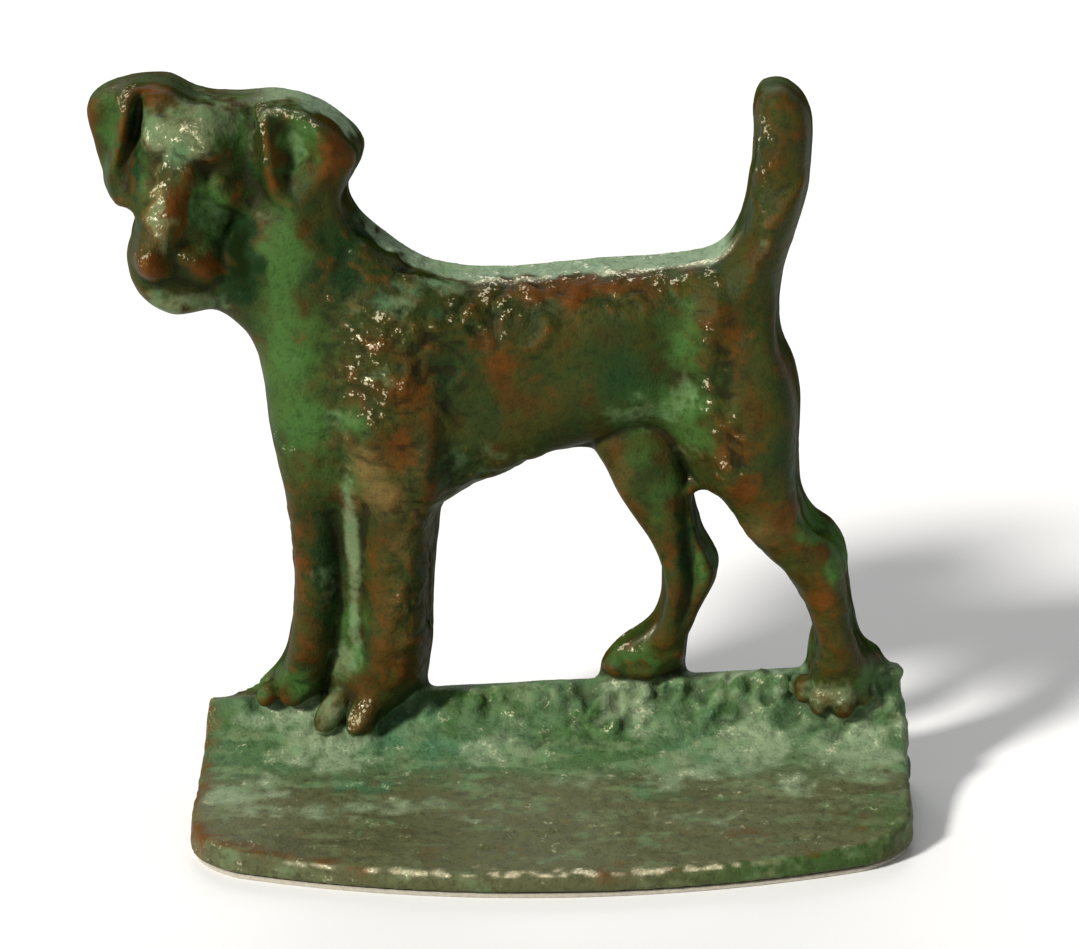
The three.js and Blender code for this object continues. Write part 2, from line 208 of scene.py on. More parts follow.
# The flat parts of the relief: heights above the back, and where they begin and end
LEGS_RISE = (16, 26)
HEAD_BASE = 6.0
HEAD_FROM_Z = 80
EAR_HEIGHT = 11.8
WEB_HEIGHT = 8.4
WEB_SIDE = 6
WEB_TOP = 62

# Paws as rounded lumps: centre, radii, lean
PAWS = [
    ([-30.2, 13.6, 16.6], [2.2, 2.8, 5], 28), ([-35.6, 14.6, 16], [2.2, 2.6, 4.4], 34),
    ([-42, 17.6, 17.9], [2.2, 2.3, 1.9], 10), ([-46.1, 17.7, 18], [1.7, 2.1, 2.2], 25),
    ([40.2, 15.6, 18.5], [1.5, 2.2, 2.5], 8), ([42.7, 14.4, 17.6], [1.7, 2.4, 3.3], 4),
    ([46.5, 14.2, 17.4], [1.9, 2.6, 3.8], 0), ([49.6, 16, 17.4], [1.4, 2.2, 3], -8),
    ([10.2, 19.4, 21.2], [2, 2.3, 1.6], 30), ([13, 18.9, 21.5], [1.7, 2.5, 1.9], 20),
    ([15.8, 18.9, 21.7], [1.8, 2.5, 1.9], 10),
]
PAW_BLEND = 0.7

# The ground
RIM_TOP = 3.9
APRON_RISE = 5.6
BANK_RISE = 8.3
BANK_SLOPE = 0.042
BANK_SHARPNESS = 8
CREST_Y = 19.0
CREST_BLEND = 1.4
CORNER = (49.0, -16.0)
CORNER_INWARD = (-0.6, 0.8)
CORNER_BEND = 4.4
END_FRONT_Y = -4.0
FOOTING_DRAFT = 0.05
FOOTING_BLEND = 0.9
GROUND_BLEND = 1.8

# The hollow in the back
HOLLOW_DRAFT = 0.2
HOLLOW_BLEND = 3.0
HOLLOW_EDGE = 1.2
CUT_EDGE = 0.5

# Tufts of grass below the crest, as [x, z, size]
TUFT_DEPTH = 2.2
TUFT_OUT = 0.9
TUFT_RADII = (1.6, 2, 2.2)
TUFT_LEAN = 14
TUFT_BLEND = 0.9
BANK_TUFTS = [
    [-16, 16, 0.9], [-12.6, 15.2, 1.1], [-8.6, 16.4, 0.8], [1, 16, 1.2], [4, 14.6, 0.8], [8, 15.2, 1.2],
    [11.6, 15.4, 0.9], [14.6, 16, 1.1], [20, 17, 1.1], [27, 17.6, 0.9], [30, 17.4, 1.1], [33.4, 17.8, 1],
    [36.8, 17.6, 0.9], [-20.4, 14.4, 0.9], [25.4, 14.4, 0.8], [9.6, 12.6, 0.8], [-50, 15, 0.9],
]

# Texture of the skin: (depth, size of a lump along each axis, seed)
LARGE_LOCKS = (1.0, (3.8, 8, 3), 1)
SMALL_LOCKS = (0.55, (2.1, 5, 1.8), 2)
HAMMER_MARKS = (0.3, (7, 9, 5.5), 3)
FINE_MARKS = (0.1, (2.6, 4, 2.6), 4)
GRASS = (0.7, (2.8, 5, 4.4), 5)
GRASS_TIPS = (0.6, (2.2, 3, 2.6), 6)
APRON_STREAKS = (0.2, (6, 2.4, 3), 7)
APRON_GRIT = (0.12, (2, 1.4, 2), 8)
BACK_GRAIN = (0.06, (3, 3, 3), 9)
SKIN_WARP = 1.5
SKIN_TURN = np.array([[0.87, 0, 0.5], [0, 1, 0], [-0.5, 0, 0.87]])
MARKS_ON_SMOOTH = 0.45

# Where the skin is rough: [x, z, x radius, z radius, strength]
ROUGH_SPOTS = [
    [-23, 78, 10, 12, 1.0], [-26, 68, 8, 8, 0.9], [-26, 90, 8, 6, 0.7], [-8, 83, 13, 5, 0.9],
    [12, 86, 18, 2.4, 0.8], [26.6, 74, 2.4, 12, 0.9], [29, 60, 3, 9, 0.7], [38, 48, 7, 10, 0.35],
    [45, 32, 5, 10, 0.4], [-22, 40, 4.4, 16, 0.8], [-20, 58, 9, 6, 0.6], [-39, 40, 3, 14, 0.4],
    [35, 100, 3, 16, 0.4], [-53.4, 112, 5.4, 4, 0.7], [-12, 58, 12, 3, 0.6], [-35, 64, 3, 5, 0.6],
    [-30, 108, 3, 3, 0.3], [-64, 112, 2, 10, 0.3], [-57.4, 100.6, 2.4, 6, 0.7],
]

# Where each colour of the patina lies, and where shade and highlights are painted, in the same form
BRIGHT_GREEN = [
    [-39.6, 92, 3.4, 8, 1.0], [-39, 77, 5, 9, 0.95], [-37, 67, 5, 7, 0.95], [-33, 58, 4, 5, 0.6],
    [22, 78, 3, 8, 0.7], [17, 69, 7, 5, 0.8], [22, 68, 4, 5, 0.85], [15, 60, 3.5, 4, 0.5],
    [19, 53, 3, 6, 0.5], [-36.6, 110.6, 2.6, 4.6, 1.1], [-66, 113, 3, 6, 0.7], [24.6, 41, 2, 6, 0.8],
    [46, 42, 2.4, 5, 1.0], [41.6, 46.6, 2.6, 2.6, 0.8], [-32, 30, 2.4, 10, 0.7], [36, 112, 2, 4, 0.2],
    [25, 63, 2.5, 3, 0.7], [39, 49, 2, 3, 0.4], [-51, 100, 3, 5, 1.2], [-30, 67.6, 3, 3, 0.8],
    [-46.6, 110, 2.6, 6, 0.6], [-60, 106, 1.6, 4, 0.5], [14, 24, 6, 2.6, 0.8], [-41, 20, 3.4, 3.4, 0.8],
    [-50, 18.6, 4, 2.6, 0.8], [-46, 21.6, 2, 1.6, 0.5], [-36, 85, 3, 5, 0.4], [39, 24, 2, 3, 0.9],
    [50.6, 21, 1.6, 3, 1.0],
]
# Deeper green; the patches in the jaw recess and beside the far foreleg also paint shade
DEEP_GREEN_AND_SHADE = [
    [-16, 74, 4, 8, 0.6], [12, 73, 8, 6, 0.7], [-46, 93, 3, 6, 2.0], [-48, 88, 2, 3, 0.6],
    [-44.4, 106, 2, 4, 0.8], [-35, 40, 2.2, 14, 0.9], [22, 44, 1.2, 10, 0.9], [-14, 60, 6, 6, 0.5],
    [24, 34, 2, 8, 0.5], [18, 56, 5, 6, 0.4], [37, 82, 4, 8, 0.5], [38, 60, 3, 10, 0.5],
    [-36, 103, 2, 3, 0.6], [-61.4, 110, 1.2, 8, 1.0], [-31, 92, 4, 6, 1.1], [35, 96, 4, 14, 0.4],
    [-20, 44, 2.5, 12, 0.4], [-22, 54, 4, 4, 0.3], [48, 30, 2, 10, 0.4], [-19, 51, 3, 3, 0.7],
]
RUST = [
    [-25, 80, 4, 3, 0.6], [-29, 72, 3, 4, 0.6], [-20, 72, 4, 6, 0.75], [-22, 63, 3.5, 4, 0.9],
    [-17, 81, 3, 3, 0.5], [-9, 80, 4, 3, 0.7], [-6, 75, 5, 3, 0.7], [5, 86.6, 13, 2, 0.85],
    [-37.6, 80, 1, 1.6, 0.6], [-7, 87, 4, 2, 0.4], [25, 86, 4, 3, 0.4], [29, 80, 4, 5, 0.6],
    [30, 72, 3, 5, 0.5], [30, 62, 4, 4, 0.7], [34, 70, 4, 8, 0.3], [36, 50, 4, 4, 0.6], [37, 46, 3, 3, 0.5],
    [43, 36, 3, 5, 0.8], [45, 29, 3, 4, 0.5], [-26, 46, 3, 6, 0.6], [-26, 37, 2.4, 8, 0.6],
    [-26, 27, 4, 5, 0.6], [-29, 20, 2.4, 4, 0.6], [-22, 34, 2, 6, 0.4], [31.6, 54.6, 2.6, 3.4, 1.1],
    [-40.4, 42, 1.4, 10, 0.7], [-40.4, 31, 1.4, 6, 0.3], [-46.2, 17.6, 1.2, 1.4, 0.9],
    [-55, 101, 1.2, 6, 0.9], [-58, 101, 2, 7, 0.5], [-59, 93.8, 2.6, 2.4, 0.9], [-50.6, 92, 3, 2.4, 0.9],
    [-51, 108.6, 2.6, 1.2, 0.8], [-46, 102.4, 1.8, 1, 0.8], [-63, 111, 1.4, 9, 0.7],
    [-59, 119.8, 4, 1.2, 0.8], [-40, 106, 1.1, 6, 0.7], [-31, 108.6, 2.6, 3.4, 0.9],
    [-59.5, 111, 1.2, 1.2, 0.7], [12, 55, 1.6, 5, 0.4], [19, 44, 1.6, 6, 0.5], [18.6, 34, 1.6, 5, 0.4],
    [15, 22.6, 3, 1, 0.6], [43, 18, 2, 2, 0.3], [47.4, 18, 1.6, 2, 0.3], [-33, 92, 2, 4, 0.5],
    [36.4, 112, 3, 4, 0.4], [37, 104, 2, 5, 0.3], [2, 72, 8, 3, 0.35], [-38, 52, 2, 5, 0.4],
]
TAN = [
    [-28, 60, 4, 4, 0.8], [-26, 55, 4, 4, 0.8], [-20, 52, 3, 3, 0.6], [-32, 64, 3, 3, 0.5],
    [-22, 46, 3, 4, 0.5], [12, 56, 2, 6, 0.5], [34, 48, 4, 4, 0.6], [-24, 30, 3, 4, 0.4],
    [-57.8, 101, 1.8, 6, 1.1], [-30.4, 16, 2, 3, 0.9], [43, 18, 1.4, 2.4, 0.8], [46.6, 18, 1.4, 2.4, 0.7],
    [-24, 38, 3, 5, 0.4], [-22, 60, 6, 5, 0.4],
]
TEAL = [[-52, 100, 1.6, 3, 0.8], [-24, 86, 2.4, 2.4, 0.5], [-16, 84, 2.4, 2, 0.4], [-8, 77, 2, 1.6, 0.3]]
# Pale film; the patches on the chin and the cheek also lighten shaded faces, and those on the near hind toes
# paint highlights
PALE_FILM_AND_LIGHT = [
    [-57, 113, 3.4, 3.6, 1.1], [-51.8, 113.6, 4, 4, 1.1], [-53.6, 110.4, 4, 2, 1.0],
    [-48.8, 114, 2.4, 3, 1.0], [-35.6, 16, 2.2, 4, 0.8], [-55, 86.4, 7, 2, 0.9], [-43.6, 112, 0.8, 5, 0.6],
    [-37.6, 116.4, 4.4, 1.4, 1.2], [-15, 89, 6, 2.6, 1.0], [21.6, 70, 3, 4, 0.5], [16, 66.4, 6, 2, 0.5],
    [-33, 25, 2, 4, 0.8], [-24, 85, 4, 3, 0.5], [-41.6, 99, 2, 1.4, 0.5], [-58, 107, 2, 2, 0.3],
    [-20, 89, 4, 4, 0.4], [-57.6, 101, 1.6, 6, 0.7], [-51, 99.6, 3, 5, 0.5], [-36.6, 110, 2.4, 4.4, 0.6],
    [-25, 75, 3, 2, 0.4], [-31, 68, 3, 3, 0.45], [-21.5, 86, 3, 2.4, 0.7], [34, 93, 1.6, 3, 0.4],
    [44.6, 18.6, 4.6, 3, 0.9], [-10, 59, 8, 4, 0.4], [15, 67, 5, 3, 0.6], [-35.6, 39, 1.4, 4, 0.5],
    [22, 60, 2, 4, 0.4],
]
WEB_FILM = [[-30.9, 46, 1.2, 10, 1.2], [-31.2, 33, 1.0, 7, 0.9]]
# Painted shadow: dark patches in the jaw recess and under the near ear, which also get no gloss
SHADOWED = [[-46, 93, 2.6, 6, 0.9], [-31, 92, 2.4, 4, 0.6]]
# Where the pale top, with its painted top light, reaches onto the near ear's rim
EAR_RIM = [[-37.6, 116, 4, 4, 1.2], [-32, 112, 6, 4.4, 1.4]]
# Painted highlights: spots where glint colour is painted and the surface made glossy
GLINTS = [
    [-57.4, 101, 2, 7, 1.6], [-53, 111.4, 4.4, 3, 1.8], [-59, 94.4, 2, 2, 1], [-53, 94, 3, 1.6, 1.5],
    [-40, 63, 3, 3, 1], [-25, 81, 4, 3, 1.7], [-27, 73, 4, 6, 1.4], [-34, 65, 3, 3, 1.1],
    [-9, 85, 7, 3.4, 1.4], [-33, 88, 2, 8, 0.8], [15, 88, 16, 1.2, 1.4], [26, 80, 1.8, 2.6, 1],
    [27, 72, 2.4, 2, 1.2], [28.4, 66, 1.6, 2.6, 1], [28, 59, 2, 3, 1], [-30.4, 16, 2.4, 4, 1.4],
    [-46, 19, 2, 2, 0.5], [44.6, 18.6, 3.4, 2.4, 1.3], [-63, 117, 1, 4, 1], [-36, 115.4, 6, 1.2, 1.6],
    [-41.6, 112, 0.8, 5, 1], [34.6, 106, 1, 9, 0.9], [12, 26, 3, 1.2, 0.8],
]

# Colours of the ground: [x, y, x radius, y radius, strength]
GROUND_PALE = [
    [-42, 18, 6, 4, 0.7], [-49, 1, 5, 5, 0.8], [-36, 12, 5, 5, 1.0], [-9, 12, 7, 4, 0.5],
    [13, 16, 5, 4, 0.8], [20, 6, 6, 4, 0.7], [33, 11, 7, 5, 0.9], [49, 9, 7, 6, 0.8], [-2, 18, 5, 2, 0.4],
    [-24, -3, 9, 3, 0.6], [-40, -5, 9, 3, 0.5], [40, 2, 7, 3, 0.5], [2, 4, 8, 3, 0.4],
    [-12, -7, 6, 1.6, 0.4], [24, -8, 8, 2, 0.4], [-28, 21, 5, 2, 0.6], [30, 21, 12, 2, 0.7],
]
GROUND_TEAL = [
    [-26, 15, 7, 4, 0.9], [-20, 12, 6, 4, 0.7], [24, 11, 6, 4, 0.6], [-45, 19, 6, 3, 0.4],
    [-32, 3, 6, 4, 0.6], [16, 0, 8, 3, 0.5],
]
GROUND_LEAF = [
    [-12, 19, 12, 4, 0.9], [8, 13, 10, 4, 0.7], [-50, 14, 6, 6, 0.5], [28, 17, 10, 3, 0.6],
    [50, 17, 6, 5, 0.6], [0, 9, 10, 4, 0.5], [52, -6, 5, 7, 0.6],
]
GROUND_BROWN = [
    [-8, 0, 10, 4, 0.5], [2, -12, 16, 6, 0.4], [-15, -11, 12, 6, 0.5], [-38, -15, 12, 5, 0.6],
    [-49, -12, 6, 4, 0.6], [54, -1, 3, 7, 0.9], [14, 3, 6, 3, 0.4], [11, 19, 7, 2, 0.6], [4, 20, 6, 2, 0.5],
    [23, 0, 8, 3, 0.4], [42, -7, 9, 4, 0.4], [-29, -13, 9, 4, 0.4], [55, 12, 2, 8, 0.5],
    [36, -14, 14, 5, 0.4], [-50, 17, 4, 3, 0.4],
]


def linear(red, green, blue):
    """A colour given as 0 to 255 screen values, as the renderer's linear values."""
    screen = np.array([red, green, blue]) / 255
    return np.where(screen > 0.0405, ((screen + 0.055) / 1.055) ** 2.4, screen / 12.92)


UMBER_COLOUR = linear(62, 45, 11)
OLIVE_COLOUR = linear(52, 55, 17)
RUST_COLOUR = linear(94, 51, 12)
TAN_COLOUR = linear(114, 92, 50)
DEEP_COLOUR = linear(20, 48, 20)
TEAL_COLOUR = linear(30, 86, 60)
LEAF_COLOUR = linear(58, 92, 40)
MINT_COLOUR = linear(102, 134, 92)
PALE_COLOUR = linear(138, 160, 130)
GREY_COLOUR = linear(122, 134, 96)
APRON_COLOUR = linear(88, 91, 60)
BANK_COLOUR = linear(76, 104, 68)
GRIME_AND_SHADE_COLOUR = linear(20, 20, 7)
GLINT_COLOUR = linear(236, 226, 190)
SHEEN_COLOUR = (1, 0.95, 0.7)
FELT_DARK = linear(150, 142, 124)
FELT_PALE = linear(196, 190, 174)

# How the patina, its painted shade and its painted highlights are laid on
FINE_PASSES, FINE_HEIGHT = 5, 0.07
BROAD_PASSES, BROAD_HEIGHT = 40, 0.5
LIT_PALE_TOP_DEPTH = (8.2, 5.8)
LIT_PALE_TOP_COVER = 0.86
CREST_HIGHLIGHT_DEPTH = 7.4
RIM_WEAR_AND_HIGHLIGHT_WIDTH = 0.26
LIGHT_SIDE = np.array([-0.5, -0.6, 0.6])

# Grain of the bronze and the felt, as the size of a lump in mm, and what is done with it
BROAD_GRAIN, MIDDLE_GRAIN, FINE_GRAIN = 3.2, 1.3, 0.45
FELT_FIBRE, FELT_CLUMP = 0.12, 0.7
SHADE_RANGE = (0.62, 1.34)
PATCHINESS = 1.1
WORN_COVER, FILM_AND_LIGHT_COVER, GRIME_AND_SHADE_COVER, GLINT_COVER = 0.85, 0.7, 0.75, 0.42
WORN_METAL = 0.15
ROUGHNESS_RANGE = (0.5, 0.64)
GLINT_SMOOTHING = 0.42
SPECULAR, GLINT_SPECULAR = 0.13, 0.8
GRAIN_DEPTH, CRUST_DEPTH = 0.1, 0.4

# Fixed numbers of the repeatable noise
HASH_FACTORS = (73856093, 19349663, 83492791, 2654435761)
HASH_MIX = 1274126177
HASH_TOP = 0xFFFFFF
NOISE_SHIFT = 1000.0
NOISE_GAIN = 2.2


# Numbers on grids
def smooth_max(a, b, blend):
    """The larger of two values, rounded off where they meet."""
    return np.maximum(a, b) + np.maximum(blend - np.abs(a - b), 0) ** 2 / (4 * blend)


def smooth_min(a, b, blend):
    return -smooth_max(-a, -b, blend)


def ease(value, low, high):
    """A smooth step from 0 at low to 1 at high."""
    t = np.clip((value - low) / (high - low), 0, 1)
    return t * t * (3 - 2 * t)


def closed_curve(points, per_span=6):
    """A smooth closed curve through the points, as a dense ring (centripetal Catmull-Rom)."""
    p = np.array(points, float)
    before, after, beyond = np.roll(p, 1, 0), np.roll(p, -1, 0), np.roll(p, -2, 0)
    t1 = np.linalg.norm(p - before, axis=1) ** 0.5
    t2 = t1 + np.linalg.norm(after - p, axis=1) ** 0.5
    t3 = t2 + np.linalg.norm(beyond - after, axis=1) ** 0.5
    zero = np.zeros_like(t1)
    ring = []
    for s in np.arange(per_span) / per_span:
        t = t1 + s * (t2 - t1)

        def mix(a, b, low, high):
            return (a * (high - t)[:, None] + b * (t - low)[:, None]) / (high - low)[:, None]

        a1, a2, a3 = mix(before, p, zero, t1), mix(p, after, t1, t2), mix(after, beyond, t2, t3)
        b1, b2 = mix(a1, a2, zero, t2), mix(a2, a3, t1, t3)
        ring.append(mix(b1, b2, t1, t2))
    return np.stack(ring, 1).reshape(-1, 2)


def from_stretch(u, v, ax, ay, bx, by):
    """Each point's place along a straight stretch, from 0 to 1, and its distance from the stretch."""
    dx, dy = bx - ax, by - ay
    t = np.clip(((u - ax) * dx + (v - ay) * dy) / (dx * dx + dy * dy), 0, 1)
    return t, np.hypot(u - ax - t * dx, v - ay - t * dy)


def signed_distance(ring, u, v):
    """Distance from every grid point to a closed ring, positive inside."""
    nearest = np.full(u.shape, np.inf)
    inside = np.zeros(u.shape, bool)
    for (ax, ay), (bx, by) in zip(ring, np.roll(ring, -1, 0)):
        nearest = np.minimum(nearest, from_stretch(u, v, ax, ay, bx, by)[1])
        if ay != by:
            inside ^= ((ay > v) != (by > v)) & (u < ax + (v - ay) * (bx - ax) / (by - ay))
    return np.where(inside, nearest, -nearest)


def along_spine(spine, u, v):
    """For each stretch of a spine: every point's distance from it, and the two values beside that point."""
    for (ax, ay, ar, ah), (bx, by, br, bh) in zip(spine, spine[1:]):
        t, d = from_stretch(u, v, ax, ay, bx, by)
        yield d, ar + (br - ar) * t, ah + (bh - ah) * t


def ridge(spine, u, v, foot, power=RIDGE_FULLNESS):
    """Relief height of a rounded ridge, which falls away steeply beyond its half-width."""
    best = np.full(u.shape, -50.0)
    for d, half, crest in along_spine(spine, u, v):
        round_part = np.clip(1 - (d / half) ** 2, 0, 1) ** power
        fall = SIDE_STEEPNESS * np.maximum(d - half, 0)
        best = np.maximum(best, foot + (crest - foot) * round_part - fall)
    return best


def swell(spine, u, v):
    """A soft bell-shaped rise along a spine, to add to a relief or take from it."""
    best = np.zeros(u.shape)
    for d, half, rise in along_spine(spine, u, v):
        best = np.maximum(best, rise * np.exp(-1.6 * (d / half) ** 2))
    return best


def patches(spots, u, v):
    """How strongly soft round patches cover each point."""
    cover = np.zeros(u.shape)
    for x, z, half_x, half_z, strength in spots:
        q = ((u - x) / half_x) ** 2 + ((v - z) / half_z) ** 2
        cover = np.maximum(cover, strength * np.exp(-0.8 * q))
    return cover


def hash_unit(i, j, k, seed):
    """A repeatable number from 0 to 1 for every whole-number cell."""
    for_i, for_j, for_k, for_seed = HASH_FACTORS
    n = (i * for_i) ^ (j * for_j) ^ (k * for_k) ^ (seed * for_seed)
    n = (n ^ (n >> 13)) * HASH_MIX
    return ((n ^ (n >> 16)) & HASH_TOP) / float(HASH_TOP)


def lumps(points, size, seed):
    """Smooth noise from about -1 to 1 at each point; size is how long a lump is along each axis."""
    p = points / np.array(size, float) + NOISE_SHIFT
    cell = np.floor(p).astype(np.int64)
    f = p - cell
    fade = f * f * f * (f * (f * 6 - 15) + 10)
    total = np.zeros(len(points))
    for corner in range(8):
        o = np.array([corner & 1, (corner >> 1) & 1, (corner >> 2) & 1])
        weight = np.prod(np.where(o == 1, fade, 1 - fade), axis=1)
        c = cell + o
        slope = [hash_unit(c[:, 0], c[:, 1], c[:, 2], seed * 3 + axis) * 2 - 1 for axis in range(3)]
        total += weight * np.sum(np.stack(slope, 1) * (f - o), axis=1)
    return np.clip(total * NOISE_GAIN, -1, 1)


def locks(points, size, seed):
    """Separate rounded bumps on a smooth skin, like short locks of hair pressed into clay."""
    return np.clip(lumps(points, size, seed), 0, 1) ** 0.8 - 0.2


def blur(field, passes):
    """A grid's values, mixed with their neighbours several times."""
    for _ in range(passes):
        for axis in range(field.ndim):
            n = field.shape[axis]
            wide = np.concatenate([np.take(field, [0], axis), field, np.take(field, [-1], axis)], axis)
            low = np.take(wide, range(0, n), axis)
            high = np.take(wide, range(2, n + 2), axis)
            field = 0.25 * low + 0.5 * field + 0.25 * high
    return field


# The relief
def cushion(distance, radius, low, high):
    """Height that rounds up from low at an edge to high at a distance from it."""
    t = np.clip(distance / radius, 0, 1)
    rounded = low + (high - low) * np.sqrt(1 - (1 - t) ** 2)
    return np.where(distance > 0, rounded, low + SIDE_STEEPNESS * distance)


def with_ridges(relief, ridges, x, z):
    for spine, blend, *shape in ridges:
        relief = smooth_max(relief, ridge(spine, x, z, *shape), blend)
    return relief


def web_relief(x, z):
    """The web of metal between the front legs, and 0 away from it."""
    height = WEB_HEIGHT + 2 * ease(x, -34.5, -29.6) + 4.4 * ease(z, 42, 58)
    between = ease(x, -36.5, -34.4) * ease(-x, 27.5, 29) * ease(WEB_TOP - z, 0, 6)
    return np.where(between > 0, height * between + WEB_SIDE * (1 - between), 0)


def body_relief(x, z, edge):
    torso = np.minimum(edge, signed_distance(closed_curve(TORSO), x, z))
    relief = np.maximum(EDGE * ease(z, *LEGS_RISE), cushion(torso, radius=11, low=6.4, high=15.2))
    relief = with_ridges(relief, BODY_RIDGES, x, z)
    relief = smooth_max(relief, web_relief(x, z), 1.0)
    relief += swell(HAUNCH_EDGE, x, z) + swell(ELBOW_EDGE, x, z)
    return relief - swell(FLANK_HOLLOW, x, z) - swell(TENDON_GROOVE, x, z)


def head_relief(x, z):
    relief = with_ridges(np.where(z > HEAD_FROM_Z, HEAD_BASE, 0.0), SKULL_RIDGES, x, z)
    ear = signed_distance(closed_curve(NEAR_EAR), x, z)
    relief = relief + np.maximum(EAR_HEIGHT - relief, 0) * ease(ear, -0.4, 1.4)
    relief = with_ridges(relief, FACE_RIDGES, x, z)
    for rise in HEAD_RISES:
        relief += swell(rise, x, z)
    for hollow in HEAD_HOLLOWS:
        relief -= swell(hollow, x, z)
    return relief


def figure_relief(x, z, edge):
    return smooth_max(body_relief(x, z, edge), head_relief(x, z), HEAD_BLEND)


def figure_edge(x, z):
    """Distance from the dog's outline and the gaps between its legs, positive in the metal."""
    inside = signed_distance(closed_curve(FIGURE_OUTLINE), x, z)
    for gap in (BELLY_GAP, HIND_GAP):
        inside = np.minimum(inside, -signed_distance(closed_curve(gap), x, z))
    return inside


# The ground
def base_plan(inset=0.0):
    """The footing's outline: straight back and ends, rounded corners, one long front curve."""
    cx, cy = (place + inward * inset for place, inward in zip(CORNER, CORNER_INWARD))
    front, side, back = FRONT_Y + inset, HALF_WIDTH - inset, BACK_Y - inset
    drop = cy - front
    radius = (cx * cx + drop * drop) / (2 * drop)
    angles = np.linspace(-1, 1, 49) * math.asin(cx / radius)
    arc = np.stack([radius * np.sin(angles), front + radius * (1 - np.cos(angles))], 1)
    t = np.linspace(0, 1, 12)[1:, None]
    start, bend, end = np.array([cx, cy]), np.array([side, cy + CORNER_BEND]), np.array([side, END_FRONT_Y])
    corner = (1 - t) ** 2 * start + 2 * t * (1 - t) * bend + t * t * end
    right = np.concatenate([corner, [[side, back]]])
    return np.concatenate([right[::-1] * [-1, 1], arc, right])


def ground_height(x, y):
    """Height of the modelled ground: an apron that rises gently, then a steep bank up to the crest."""
    t = np.clip((y - FRONT_Y) / (CREST_Y - FRONT_Y), 0, 1.4)
    slope = RIM_TOP + APRON_RISE * t + (BANK_RISE + BANK_SLOPE * x) * t ** BANK_SHARPNESS
    crest = RIM_TOP + APRON_RISE + BANK_RISE + BANK_SLOPE * x
    return smooth_min(slope, crest + 0.6, CREST_BLEND)


# The solid
def lump_field(centre, radii, lean, x, y, z):
    """Distance-like field of an egg-shaped lump that leans in the X-Z plane, negative inside it."""
    cx, cy, cz = centre
    rx, ry, rz = radii
    c, s = math.cos(math.radians(lean)), math.sin(math.radians(lean))
    u = c * (x - cx) - s * (z - cz)
    w = s * (x - cx) + c * (z - cz)
    q = np.sqrt((u / rx) ** 2 + ((y - cy) / ry) ** 2 + (w / rz) ** 2)
    return (q - 1) * min(radii)


def tuft_places():
    """Where each tuft of grass stands on the bank."""
    depths = np.linspace(5, BACK_Y, 73)
    for x, z, size in BANK_TUFTS:
        yield [x, float(np.interp(z, ground_height(x, depths), depths)) + TUFT_OUT * size, z], size


def casting_field():
    """Distance-like field of the whole casting, negative in the metal, and where the grid starts."""
    axes = [np.arange(GRID_LOW[i], GRID_HIGH[i] + STEP, STEP) for i in range(3)]
    xs, ys, zs = (a.astype(np.float32) for a in axes)
    x2, z2 = np.meshgrid(xs, zs, indexing="ij")
    gx, gy = np.meshgrid(xs, ys, indexing="ij")
    x, y, z = xs[:, None, None], ys[None, :, None], zs[None, None, :]

    edge = figure_edge(x2, z2)
    relief = blur(figure_relief(x2, z2, edge), 1)
    tilt = 1 / np.sqrt(1 + np.hypot(*np.gradient(relief, STEP)) ** 2)
    front = (BACK_Y - relief[:, None, :] - y) * tilt[:, None, :]
    side = DRAFT * (BACK_Y - y) - edge[:, None, :]
    dog = smooth_max(front, side, EDGE_BLEND)

    rim = signed_distance(base_plan(), gx, gy)
    top = ground_height(gx, gy)
    flat = 1 / np.sqrt(1 + np.hypot(*np.gradient(top, STEP)) ** 2)
    wall = (z - FOOT_Z) * FOOTING_DRAFT - rim[:, :, None]
    footing = smooth_max((z - top[:, :, None]) * flat[:, :, None], wall, FOOTING_BLEND)
    field = smooth_min(dog, footing, GROUND_BLEND)
    for centre, radii, lean in PAWS:
        field = smooth_min(field, lump_field(centre, radii, lean, x, y, z), PAW_BLEND)
    for centre, size in tuft_places():
        radii = [radius * size for radius in TUFT_RADII]
        field = smooth_min(field, lump_field(centre, radii, TUFT_LEAN, x, y, z), TUFT_BLEND)

    behind = blur(relief, 6) - WALL
    rim_distance = signed_distance(closed_curve(HOLLOW_RIM), x2, z2)
    hollow_side = rim_distance[:, None, :] - HOLLOW_DRAFT * (BACK_Y - y)
    hollow = smooth_min(hollow_side, y - BACK_Y + behind[:, None, :], HOLLOW_BLEND)
    field = smooth_max(field, hollow, HOLLOW_EDGE)
    field = smooth_max(field, y - BACK_Y, CUT_EDGE)
    field = smooth_max(field, FOOT_Z - z, CUT_EDGE)
    return field.astype(np.float32), np.array([a[0] for a in axes])


